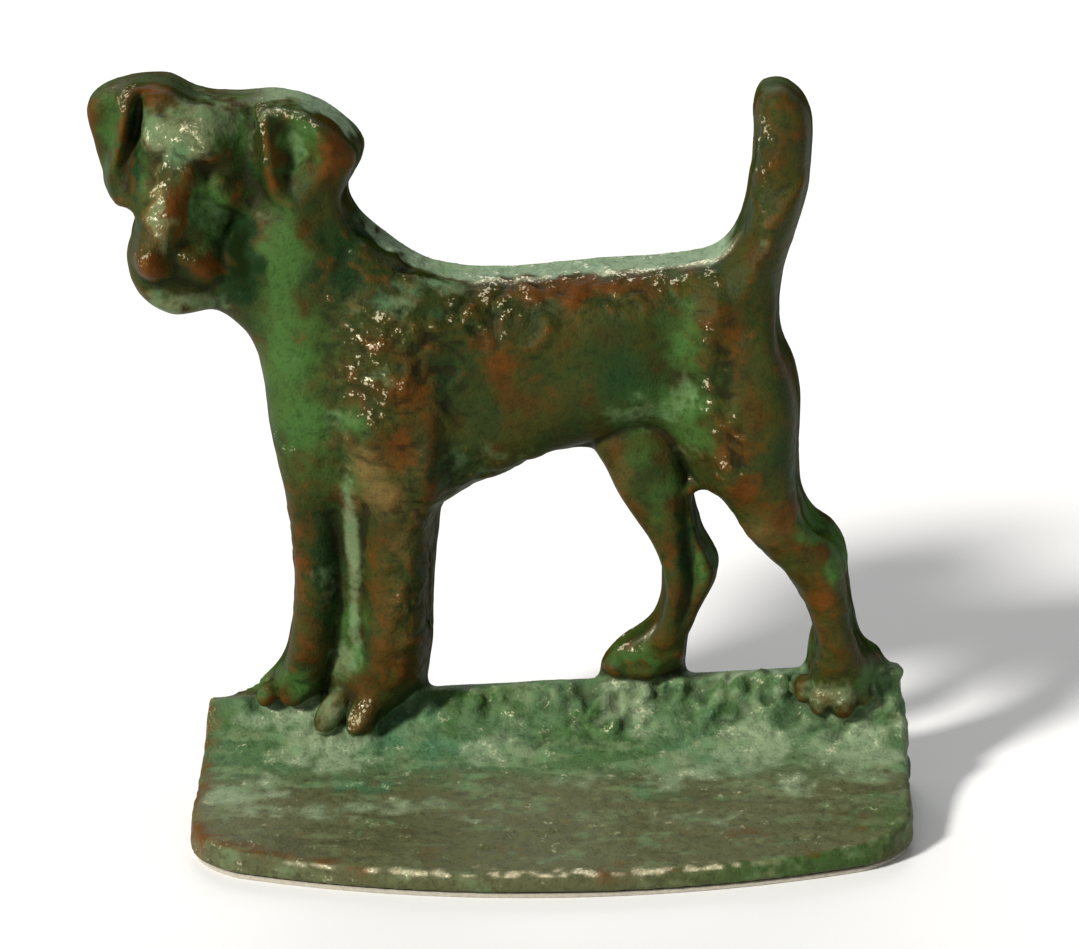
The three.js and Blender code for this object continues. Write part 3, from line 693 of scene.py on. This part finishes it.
def surface_nets(field, origin):
    """Vertices and outward quads of the surface where the field is zero."""
    inside = field < 0
    shape = np.array(field.shape) - 1
    corners = [(i, j, k) for i in (0, 1) for j in (0, 1) for k in (0, 1)]
    count = np.zeros(shape, np.int8)
    for i, j, k in corners:
        count += inside[i:shape[0] + i, j:shape[1] + j, k:shape[2] + k]
    mixed = (count > 0) & (count < 8)
    cells = np.argwhere(mixed)
    index = np.full(shape, -1, np.int64)
    index[mixed] = np.arange(len(cells))

    total = np.zeros((len(cells), 3))
    crossings = np.zeros(len(cells))
    for a in corners:
        for axis in range(3):
            if a[axis]:
                continue
            b = tuple(1 if n == axis else a[n] for n in range(3))
            fa = field[tuple((cells + a).T)]
            fb = field[tuple((cells + b).T)]
            cross = (fa < 0) != (fb < 0)
            t = fa[cross] / (fa[cross] - fb[cross])
            point = np.tile(np.array(a, float), (len(t), 1))
            point[:, axis] = t
            total[cross] += point
            crossings[cross] += 1
    vertices = origin + STEP * (cells + total / crossings[:, None])

    quads = []
    for axis in range(3):
        u, v = (axis + 1) % 3, (axis + 2) % 3
        low = [slice(None)] * 3
        high = [slice(None)] * 3
        low[axis], high[axis] = slice(0, -1), slice(1, None)
        edges = np.argwhere(inside[tuple(low)] != inside[tuple(high)])
        keep = (edges[:, u] > 0) & (edges[:, v] > 0) & (edges[:, u] < shape[u]) & (edges[:, v] < shape[v])
        edges = edges[keep]
        ring = []
        for du, dv in ((0, 0), (1, 0), (1, 1), (0, 1)):
            c = edges.copy()
            c[:, u] -= du
            c[:, v] -= dv
            ring.append(index[tuple(c.T)])
        quad = np.stack(ring, 1)
        outward = inside[tuple(edges.T)]
        quad[~outward] = quad[~outward][:, ::-1]
        quads.append(quad)
    return vertices, np.concatenate(quads)


def vertex_normals(vertices, quads):
    a, b, c, d = (vertices[quads[:, i]] for i in range(4))
    face = np.cross(c - a, d - b)
    normals = np.zeros_like(vertices)
    for i in range(4):
        for axis in range(3):
            normals[:, axis] += np.bincount(quads[:, i], face[:, axis], len(vertices))
    return normals / np.maximum(np.linalg.norm(normals, axis=1, keepdims=True), 1e-9)


def relaxed(values, quads, passes):
    """Each vertex's values moved towards its neighbours' mean, several times."""
    starts = quads.ravel()
    ends = np.roll(quads, -1, axis=1).ravel()
    degree = np.bincount(starts, minlength=len(values)) + np.bincount(ends, minlength=len(values))
    for _ in range(passes):
        total = np.zeros_like(values)
        for axis in range(values.shape[1]):
            total[:, axis] = np.bincount(starts, values[ends, axis], len(values))
            total[:, axis] += np.bincount(ends, values[starts, axis], len(values))
        values = 0.5 * values + 0.5 * total / degree[:, None]
    return values


def ground_cover(vertices):
    """1 on the modelled ground, 0 on the dog and on the underside."""
    x, y, z = vertices.T
    return ease(ground_height(x, y + TUFT_DEPTH) + 1.2 - z, 0, 1.2) * ease(-y, -BACK_Y + 0.5, -BACK_Y + 2)


def texture(noise, points, layer):
    """One layer of the skin's texture: how far it moves each point outward."""
    depth, size, seed = layer
    return depth * noise(points, size, seed)


def rough_skin(vertices, normals):
    """Move the surface in and out: cast fur, tufts on the bank, streaks on the apron, grain on the back."""
    x, y, z = vertices.T
    above_foot = ease(z, FOOT_Z + 0.4, FOOT_Z + 2)
    front = ease(BACK_Y - y, 0.6, 2.5) * above_foot
    ground = ground_cover(vertices)
    dog = front * (1 - ground) * ease(-normals[:, 1], -0.4, 0.0)
    rough = patches(ROUGH_SPOTS, x, z)
    warp = np.stack([lumps(vertices, (5, 5, 5), 11), np.zeros_like(x), lumps(vertices, (5, 5, 5), 12)], 1)
    bent = (vertices + SKIN_WARP * warp) @ SKIN_TURN
    fur = texture(locks, bent, LARGE_LOCKS) + texture(locks, bent, SMALL_LOCKS)
    hammered = texture(lumps, bent, HAMMER_MARKS) + texture(lumps, vertices, FINE_MARKS)
    move = dog * (rough * fur + (MARKS_ON_SMOOTH + (1 - MARKS_ON_SMOOTH) * rough) * hammered)

    bank = ground * ease(y, 10, 14) * ease(-y, -BACK_Y + 1, -BACK_Y + 4)
    tufted = 0.25 + 0.75 * ease(x, -20, 0)
    move += bank * tufted * (texture(lumps, bent, GRASS) + texture(locks, bent, GRASS_TIPS))
    apron = ground * front * ease(-y, -12, -6)
    move += apron * (texture(lumps, vertices, APRON_STREAKS) + texture(lumps, vertices, APRON_GRIT))
    move += (1 - front) * texture(lumps, vertices, BACK_GRAIN) * above_foot
    return vertices + normals * move[:, None]


# The patina, with painted shade and painted highlights, painted on the vertices
def over(colours, colour, cover):
    """A colour laid over each vertex's own; cover goes from 0 to 1."""
    return colours * (1 - cover[:, None]) + colour * cover[:, None]


class Skin:
    def __init__(self, vertices, quads):
        self.vertices = vertices
        self.x, self.y, self.z = vertices.T
        self.normals = vertex_normals(vertices, quads)
        self.raised = self.height_over(relaxed(vertices, quads, FINE_PASSES), FINE_HEIGHT)
        self.proud = self.height_over(relaxed(vertices, quads, BROAD_PASSES), BROAD_HEIGHT)
        self.drift = [self.wander(seed) for seed in (21, 23)]
        self.u = self.x + self.drift[0]
        self.v = self.z + self.drift[1]
        self.mottle = self.cloud((5, 5, 5), 25)
        self.small = self.cloud((2.2, 2.2, 2.2), 27)
        self.streak = self.cloud((9, 2.6, 4), 29)
        self.ground = ground_cover(vertices)
        self.dog = 1 - self.ground
        self.front = -self.normals[:, 1]
        self.up = self.normals[:, 2]
        self.facing = ease(self.front, -0.4, 0.4)
        self.rim_face = ease(self.front, 0.5, 0.8) * ease(-self.y, -4, 2)

    def height_over(self, smoothed, full):
        """How far each vertex stands out of a smoothed copy, from -1 to 1."""
        return np.clip(np.sum((self.vertices - smoothed) * self.normals, axis=1) / full, -1, 1)

    def cloud(self, size, seed):
        return 0.5 + 0.5 * lumps(self.vertices, size, seed)

    def wander(self, seed):
        """How far a patch's edge strays here, in millimetres."""
        broad = lumps(self.vertices, (4, 4, 4), seed)
        return 1.3 * broad + 0.7 * lumps(self.vertices, (1.6, 1.6, 1.6), seed + 1)


def paint_dog(skin):
    """Colour of the dog's patina, with painted shade in some deep green patches, and how bright a green it
    is.
    """
    x, z = skin.u, skin.v
    mottle = 0.6 * skin.mottle + 0.4 * skin.small
    greenish = ease(skin.cloud((7, 7, 7), 26) - 0.3 * skin.proud, 0.3, 0.7)
    facing = ease(skin.front, -0.5, 0.3) * skin.dog
    bright = patches(BRIGHT_GREEN, x, z) * facing
    colours = np.tile(UMBER_COLOUR, (len(x), 1))
    for colour, cover in (
        (OLIVE_COLOUR, ease(mottle, 0.15, 0.6)),
        (DEEP_COLOUR, 0.5 * greenish),
        (TEAL_COLOUR, ease(patches(TEAL, x, z) * facing, 0.1, 0.9)),
        (LEAF_COLOUR, 0.95 * ease(bright + 0.7 * (mottle - 0.5), 0.1, 0.9)),
        # Deep green patches, some of them painted shade
        (DEEP_COLOUR, ease(patches(DEEP_GREEN_AND_SHADE, x, z) + 0.3 * (mottle - 0.5), 0.2, 0.9)),
        (TAN_COLOUR, 0.75 * ease(patches(TAN, x, z) * facing, 0.2, 0.9)),
    ):
        colours = over(colours, colour, cover)
    return colours, bright


def paint_ground(skin):
    """Green and pale on the bank, olive brown on the apron and the rim."""
    x = skin.x + 2.5 * skin.drift[0]
    y = skin.y + 1.5 * skin.drift[1]
    shift = 0.8 * (0.5 * skin.mottle + 0.5 * skin.small - 0.5)
    colours = np.tile(APRON_COLOUR, (len(x), 1))
    colours = over(colours, BANK_COLOUR, ease(y + 4 * (skin.streak - 0.5), 0, 11))
    for colour, spots, most in (
        (0.7 * APRON_COLOUR, GROUND_BROWN, 0.7),
        (LEAF_COLOUR, GROUND_LEAF, 0.7),
        (0.6 * TEAL_COLOUR + 0.4 * MINT_COLOUR, GROUND_TEAL, 1.0),
        (0.5 * GREY_COLOUR + 0.5 * PALE_COLOUR, GROUND_PALE, 0.85),
    ):
        colours = over(colours, colour, most * ease(patches(spots, x, y) + shift, 0.15, 0.75))
    colours = over(colours, 0.75 * APRON_COLOUR, 0.7 * skin.rim_face)
    return over(colours, 0.75 * LEAF_COLOUR, 0.8 * skin.rim_face * ease(skin.x, 12, 36))


def pale_and_lit_top(skin):
    """Cover of the pale crust and painted top light on what faces up, in the rear part of the dog's depth."""
    upward = ease(skin.up + 0.2 * (skin.small - 0.5), 0.5, 0.8) * skin.dog * ease(skin.z, 60, 75)
    deepest, shallowest = LIT_PALE_TOP_DEPTH
    return upward * ease(skin.y + 1.6 * skin.drift[0], BACK_Y - deepest, BACK_Y - shallowest)


def on_back(skin):
    """1 on the back and on the near ear's rim, and little on the rest of the head, neck and tail."""
    elsewhere = np.maximum(ease(skin.z, 93, 98), ease(-skin.x, 27, 32))
    return 1 - 0.9 * elsewhere * (1 - np.minimum(patches(EAR_RIM, skin.x, skin.z), 1))


def rim_wear_and_highlight(skin):
    """The line along the front edge of the ground, worn to metal and given a painted highlight."""
    line = skin.ground * ease(-skin.y, -6, 8) * np.exp(-((skin.z - RIM_TOP - 0.1) / RIM_WEAR_AND_HIGHLIGHT_WIDTH) ** 2)
    return line * ease(skin.up, 0.1, 0.35) * ease(skin.front, 0.16, 0.35)


def crest_highlight_line(skin):
    """The painted highlight line, glossy too, where the pale top of the back meets the flank."""
    line = skin.dog * ease(skin.x, -18, -10) * ease(34 - skin.x, 0, 4)
    line = line * np.exp(-((skin.y - BACK_Y + CREST_HIGHLIGHT_DEPTH) / 0.9) ** 2)
    return line * ease(skin.up, 0.4, 0.7) * ease(skin.streak, 0.35, 0.6)


def worn_share(skin, bright, top, rim):
    """How far the green is worn through to brown metal."""
    worn = patches(RUST, skin.u, skin.v) * skin.dog * skin.facing
    worn = np.maximum(worn, 0.4 * skin.ground * ease(-skin.y, -6, 10) * ease(skin.mottle, 0.45, 0.8))
    high_spots = np.clip(skin.raised, 0, 1) * skin.dog * skin.facing * (1 - ease(bright, 0.3, 0.8))
    worn = np.maximum(worn, 0.35 * high_spots)
    from_edge = signed_distance(base_plan(), skin.x, skin.y)
    left_edge = skin.ground * ease(-from_edge, -5, -0.5) * ease(-skin.x - 3 * skin.drift[0], 24, 38)
    worn = np.maximum(worn, 0.75 * left_edge * (1 - skin.rim_face))
    rubbed = 0.15 * np.clip(skin.proud, 0, 1) * skin.facing * skin.dog
    return np.clip(worn + rubbed + 0.3 * rim - 0.6 * top, 0, 1)


def film_and_light_share(skin):
    # Pale film on the dog, which on the chin, the cheek and the near hind toes also paints light; pale
    # streaks on the ground
    web = patches(WEB_FILM, skin.x + 0.25 * skin.drift[0], skin.z)
    film_and_light = np.maximum(patches(PALE_FILM_AND_LIGHT, skin.u, skin.v), web) * skin.dog * skin.facing
    on_ground = skin.ground * (0.45 + 0.2 * ease(skin.y, -4, 4)) * ease(skin.streak, 0.45, 0.7)
    return np.maximum(film_and_light, on_ground)


def grime_and_shade_share(skin, bright, top):
    # Darkening in low spots and creases, partly grime and partly painted shade, and painted shadow in the
    # SHADOWED recesses
    low_spots = 0.6 * np.clip(-skin.raised, 0, 1) + 0.4 * np.clip(-skin.proud, 0, 1)
    grime_and_shade = np.clip(low_spots, 0, 1) * (1 - 0.8 * bright) * (1 - 0.4 * skin.ground) * (1 - 0.8 * top)
    return np.maximum(grime_and_shade, patches(SHADOWED, skin.u, skin.v) * skin.dog)


def dull_share(skin):
    """1 on the side walls and in the shadowed recesses, which show no gloss."""
    side_wall = skin.dog * (1 - ease(skin.front, 0.0, 0.45))
    return np.maximum(side_wall, skin.dog * np.minimum(patches(SHADOWED, skin.u, skin.v) * 1.2, 1))


def glint_share(skin, rough, rim_highlight, crest):
    """Where highlights are painted and the wax is glossy: raised, rough spots that face the lamp, and the
    highlight lines along the rim and the back's crest.
    """
    lit = ease(skin.normals @ LIGHT_SIDE, 0.3, 0.8)
    clusters = ease(skin.cloud((4, 4, 4), 31), 0.45, 0.75)
    glints = np.maximum(rough * clusters, patches(GLINTS, skin.u, skin.v) * skin.dog)
    glints = glints * ease(skin.raised, 0.0, 0.6) * lit
    # Painted highlights on the lit ground
    on_ground = 0.5 * skin.ground * lit * ease(skin.small, 0.5, 0.8)
    glints = np.maximum(np.maximum(glints, rim_highlight), on_ground)
    return np.clip(np.maximum(glints, 1.2 * crest), 0, 1)


def paint_patina(vertices, quads):
    """Each vertex's colour, with painted shade and highlights; its wear, its film with painted light, and its
    grime with painted shade; and its glints, roughness and dullness.
    """
    skin = Skin(vertices, quads)
    top, rim, crest = pale_and_lit_top(skin), rim_wear_and_highlight(skin), crest_highlight_line(skin)
    rim_highlight = 1.8 * rim * ease(skin.small, 0.3, 0.6) * ease(42 - np.abs(skin.x + 4), 0, 16)
    dog_colours, bright = paint_dog(skin)
    colours = dog_colours * skin.dog[:, None] + paint_ground(skin) * skin.ground[:, None]
    # Pale crust with painted top light on the upward faces of the back
    colours = over(colours, PALE_COLOUR, LIT_PALE_TOP_COVER * top * on_back(skin))
    # Painted highlight colour along the rim edge and the back's crest
    colours = over(colours, GLINT_COLOUR, np.clip(0.4 * rim_highlight + 0.25 * crest, 0, 0.5))

    on_bank = 0.6 * skin.ground * ease(skin.y, 6, 14)
    rough = np.maximum(patches(ROUGH_SPOTS, skin.x, skin.z) * skin.dog, on_bank)
    marks_and_painted_light = [worn_share(skin, bright, top, rim), film_and_light_share(skin), grime_and_shade_share(skin, bright, top)]
    shine = [glint_share(skin, rough, rim_highlight, crest), rough, dull_share(skin)]
    return colours, np.stack(marks_and_painted_light, 1), np.stack(shine, 1)


def quad_mesh(name, vertices, quads):
    mesh = bpy.data.meshes.new(name)
    mesh.vertices.add(len(vertices))
    mesh.vertices.foreach_set("co", (vertices * MM).astype(np.float32).ravel())
    mesh.loops.add(quads.size)
    mesh.loops.foreach_set("vertex_index", quads.astype(np.int32).ravel())
    mesh.polygons.add(len(quads))
    mesh.polygons.foreach_set("loop_start", np.arange(0, quads.size, 4, dtype=np.int32))
    mesh.update(calc_edges=True)
    mesh.validate()
    mesh.shade_smooth()
    return mesh


def add_colours(mesh, name, values):
    layer = mesh.color_attributes.new(name, "FLOAT_COLOR", "POINT")
    rgba = np.ones((len(values), 4), np.float32)
    rgba[:, :3] = values
    layer.data.foreach_set("color", rgba.ravel())


def add_piece(name, mesh):
    piece = bpy.data.objects.new(name, mesh)
    bpy.context.collection.objects.link(piece)
    return piece


def make_casting():
    field, origin = casting_field()
    vertices, quads = surface_nets(field, origin)
    vertices = rough_skin(vertices, vertex_normals(vertices, quads))
    colours, marks_and_painted_light, shine = paint_patina(vertices, quads)
    mesh = quad_mesh("terrier_relief", vertices, quads)
    add_colours(mesh, "patina", colours)
    add_colours(mesh, "marks_and_painted_light", marks_and_painted_light)
    add_colours(mesh, "shine", shine)
    mesh.materials.append(patina_material())
    return add_piece("terrier_relief", mesh)


def make_felt():
    """The felt pad: a soft-edged slab cut to the footing's shape, a little inside it."""
    low, high = PAD_LOW / MM, PAD_HIGH / MM
    inset = HALF_WIDTH - float(high[0])
    section = [
        (1.2, low[2]), (0.25, low[2]), (0, low[2] + 0.2),
        (0, high[2] - 0.15), (0.2, high[2]), (1.2, high[2]),
    ]
    rings = []
    for extra, level in section:
        ring = base_plan(inset + extra)
        rings.append(np.column_stack([ring, np.full(len(ring), level)]))
    count = len(rings[0])
    vertices = [tuple(p * MM) for ring in rings for p in ring]
    last = (len(section) - 1) * count
    faces = [tuple(range(count))[::-1], tuple(range(last, last + count))]
    for row in range(len(section) - 1):
        for i in range(count):
            j = (i + 1) % count
            a, b = row * count, (row + 1) * count
            faces.append((a + i, a + j, b + j, b + i))
    mesh = bpy.data.meshes.new("felt_underlay")
    mesh.from_pydata(vertices, [], faces)
    mesh.materials.append(felt_material())
    return add_piece("felt_underlay", mesh)


# Materials
class Nodes:
    """A material's node tree, with short calls for the nodes used here."""

    def __init__(self, name):
        self.material = bpy.data.materials.new(name)
        self.material.use_nodes = True
        self.tree = self.material.node_tree
        self.tree.nodes.clear()
        out = self.add("OutputMaterial")
        self.shader = self.add("BsdfPrincipled")
        self.put(self.shader.outputs[0], out.inputs[0])
        self.place = self.add("TexCoord").outputs["Object"]

    def add(self, kind, *values):
        """A new node, with its first inputs linked or set."""
        node = self.tree.nodes.new("ShaderNode" + kind)
        for value, socket in zip(values, node.inputs):
            self.put(value, socket)
        return node

    def put(self, value, socket):
        """Link another node's output, or set a number or a colour, on a socket."""
        if isinstance(value, bpy.types.NodeSocket):
            self.tree.links.new(value, socket)
        elif isinstance(value, (int, float)):
            socket.default_value = value
        else:
            socket.default_value = (*value, 1)

    def noise(self, lump_mm, detail):
        node = self.add("TexNoise", self.place)
        node.inputs["Scale"].default_value = 1000 / lump_mm
        node.inputs["Detail"].default_value = detail
        return node.outputs["Fac"]

    def math(self, kind, *values):
        node = self.add("Math", *values)
        node.operation = kind
        return node.outputs[0]

    def blend(self, a, share_a, b, share_b):
        return self.math("ADD", self.math("MULTIPLY", a, share_a), self.math("MULTIPLY", b, share_b))

    def step(self, value, low, high, start=0.0, end=1.0):
        """A smooth step from start to end as the value goes from low to high."""
        node = self.add("MapRange", value, low, high, start, end)
        node.interpolation_type = "SMOOTHSTEP"
        return node.outputs[0]

    def mix(self, factor, a, b, kind="MIX"):
        node = self.add("Mix", factor)
        node.data_type = "RGBA"
        node.blend_type = kind
        self.put(a, node.inputs[6])
        self.put(b, node.inputs[7])
        return node.outputs[2]

    def painted(self, name):
        node = self.add("Attribute")
        node.attribute_name = name
        return node.outputs["Color"]

    def channels(self, colour):
        return self.add("SeparateColor", colour).outputs

    def bump(self, height, depth_mm, below=None):
        node = self.add("Bump")
        node.inputs["Distance"].default_value = depth_mm / 1000
        self.put(height, node.inputs["Height"])
        if below is not None:
            self.put(below, node.inputs["Normal"])
        return node.outputs[0]

    def surface(self, values):
        """The finished material, with the shader's inputs set by name."""
        for name, value in values.items():
            self.put(value, self.shader.inputs[name])
        return self.material


def patina_material():
    n = Nodes("patinated_bronze")
    wear, film_and_light, grime_and_shade = n.channels(n.painted("marks_and_painted_light"))[:3]
    shine, rough, dull = n.channels(n.painted("shine"))[:3]
    broad, middle, fine = n.noise(BROAD_GRAIN, 3), n.noise(MIDDLE_GRAIN, 3), n.noise(FINE_GRAIN, 2)

    shade = n.step(n.blend(middle, 0.55, fine, 0.45), 0.3, 0.7, *SHADE_RANGE)
    colour = n.mix(1.0, n.painted("patina"), n.mix(shade, (0, 0, 0), (1, 1, 1)), "MULTIPLY")

    patchy = n.math("MULTIPLY_ADD", n.blend(middle, 0.7, broad, 0.8), PATCHINESS, -0.83)
    worn = n.step(n.math("ADD", wear, patchy), 0.2, 1.0)
    metal_tone = n.mix(n.step(broad, 0.35, 0.65), RUST_COLOUR * 0.75, RUST_COLOUR)
    colour = n.mix(n.math("MULTIPLY", worn, WORN_COVER), colour, metal_tone)

    # Pale film, partly painted light, laid over the colour
    film_and_light_mask = n.step(n.math("ADD", film_and_light, patchy), 0.2, 1.0)
    film_and_light_tone = n.mix(n.step(broad, 0.4, 0.65), GREY_COLOUR, MINT_COLOUR)
    colour = n.mix(n.math("MULTIPLY", film_and_light_mask, FILM_AND_LIGHT_COVER), colour, film_and_light_tone)
    # Grime and painted shade darken the colour
    colour = n.mix(n.math("MULTIPLY", n.step(grime_and_shade, 0.15, 0.95), GRIME_AND_SHADE_COVER), colour, GRIME_AND_SHADE_COLOUR)

    # Painted highlight colour where the glints spark; they also make the surface glossy
    grains = n.step(n.blend(fine, 0.55, middle, 0.45), 0.48, 0.6)
    spark = n.step(n.math("MULTIPLY", shine, grains), 0.25, 0.7)
    colour = n.mix(n.math("MULTIPLY", spark, GLINT_COVER), colour, GLINT_COLOUR)

    roughness = n.step(middle, 0.2, 0.8, *ROUGHNESS_RANGE)
    smoothing = n.step(spark, 0, 1, 1.0, GLINT_SMOOTHING)
    specular = n.step(dull, 0, 1, SPECULAR, 0.0)
    crust = n.math("MULTIPLY", middle, n.math("MULTIPLY_ADD", rough, 0.7, 0.4))
    return n.surface({
        "Base Color": colour,
        "Metallic": n.math("MULTIPLY", worn, WORN_METAL),
        "Roughness": n.math("MULTIPLY", roughness, smoothing),
        "Specular IOR Level": n.step(spark, 0, 1, specular, GLINT_SPECULAR),
        "Specular Tint": SHEEN_COLOUR,
        "Normal": n.bump(crust, CRUST_DEPTH, n.bump(fine, GRAIN_DEPTH)),
    })


def felt_material():
    n = Nodes("pressed_felt")
    fibre, clump = n.noise(FELT_FIBRE, 3), n.noise(FELT_CLUMP, 2)
    return n.surface({
        "Base Color": n.mix(clump, FELT_DARK, FELT_PALE),
        "Roughness": 0.96,
        "Sheen Weight": 0.4,
        "Normal": n.bump(fibre, 0.12, n.bump(clump, 0.1)),
    })


def floor_material():
    return Nodes("floor_paint").surface({"Base Color": (0.96, 0.96, 0.955), "Roughness": 0.8})


# The stage
FLOOR_REACH = 4.0
ROOM_LIGHT = 0.25
CAMERA_AZIMUTH = 2.4
CAMERA_ELEVATION = 18.0
CAMERA_ROLL = 1.6
CAMERA_DISTANCE = 650.0
CAMERA_TARGET = (-0.45, 0.0, 60.3)
LENS = 140.96
SENSOR_WIDTH = 36


def make_floor():
    reach = FLOOR_REACH
    level = float(PAD_LOW[2])
    corners = [(-reach, -reach, level), (reach, -reach, level), (reach, reach, level), (-reach, reach, level)]
    mesh = bpy.data.meshes.new("floor")
    mesh.from_pydata(corners, [], [(0, 1, 2, 3)])
    mesh.materials.append(floor_material())
    add_piece("floor", mesh)


def make_lamp(name, power, softness, direction, colour=(1, 1, 1)):
    """A distant lamp; softness is its width in the sky, in degrees."""
    lamp = bpy.data.lights.new(name, "SUN")
    lamp.energy = power
    lamp.angle = math.radians(softness)
    lamp.color = colour
    holder = bpy.data.objects.new(name, lamp)
    holder.rotation_euler = Vector(direction).to_track_quat("-Z", "Y").to_euler()
    bpy.context.collection.objects.link(holder)


def make_lights():
    make_lamp("key", power=4.0, softness=9, direction=(0.62, 0.62, -0.58), colour=(1.0, 0.98, 0.94))
    make_lamp("back_fill", power=0.9, softness=40, direction=(0.1, -0.8, -0.6))
    world = bpy.data.worlds.new("pale_room")
    world.use_nodes = True
    background = world.node_tree.nodes["Background"]
    background.inputs["Color"].default_value = (1, 1, 1, 1)
    background.inputs["Strength"].default_value = ROOM_LIGHT
    bpy.context.scene.world = world


def make_camera():
    a, e, roll = (math.radians(v) for v in (CAMERA_AZIMUTH, CAMERA_ELEVATION, CAMERA_ROLL))
    back = Vector((math.sin(a) * math.cos(e), -math.cos(a) * math.cos(e), math.sin(e)))
    right = Vector((math.cos(a), math.sin(a), 0))
    up = back.cross(right)
    turned_right = math.cos(roll) * right - math.sin(roll) * up
    turned_up = math.sin(roll) * right + math.cos(roll) * up
    camera = bpy.data.objects.new("camera", bpy.data.cameras.new("camera"))
    turn = Matrix((turned_right, turned_up, back)).transposed().to_4x4()
    place = (Vector(CAMERA_TARGET) + CAMERA_DISTANCE * back) * MM
    camera.matrix_world = Matrix.Translation(place) @ turn
    camera.data.sensor_fit = "HORIZONTAL"
    camera.data.sensor_width = SENSOR_WIDTH
    camera.data.lens = LENS
    camera.data.clip_start = 0.01
    bpy.context.collection.objects.link(camera)
    bpy.context.scene.camera = camera


def fasten(piece, node):
    """Let a piece stand for a CAD node: fasten it to the root body and hide that node."""
    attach(piece, "root")
    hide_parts(node)


make_camera()
make_lights()
make_floor()
fasten(make_casting(), "terrier_casting")
felt = make_felt()
fasten(felt, "felt_pad")
bpy.context.scene.view_settings.view_transform = "Standard"
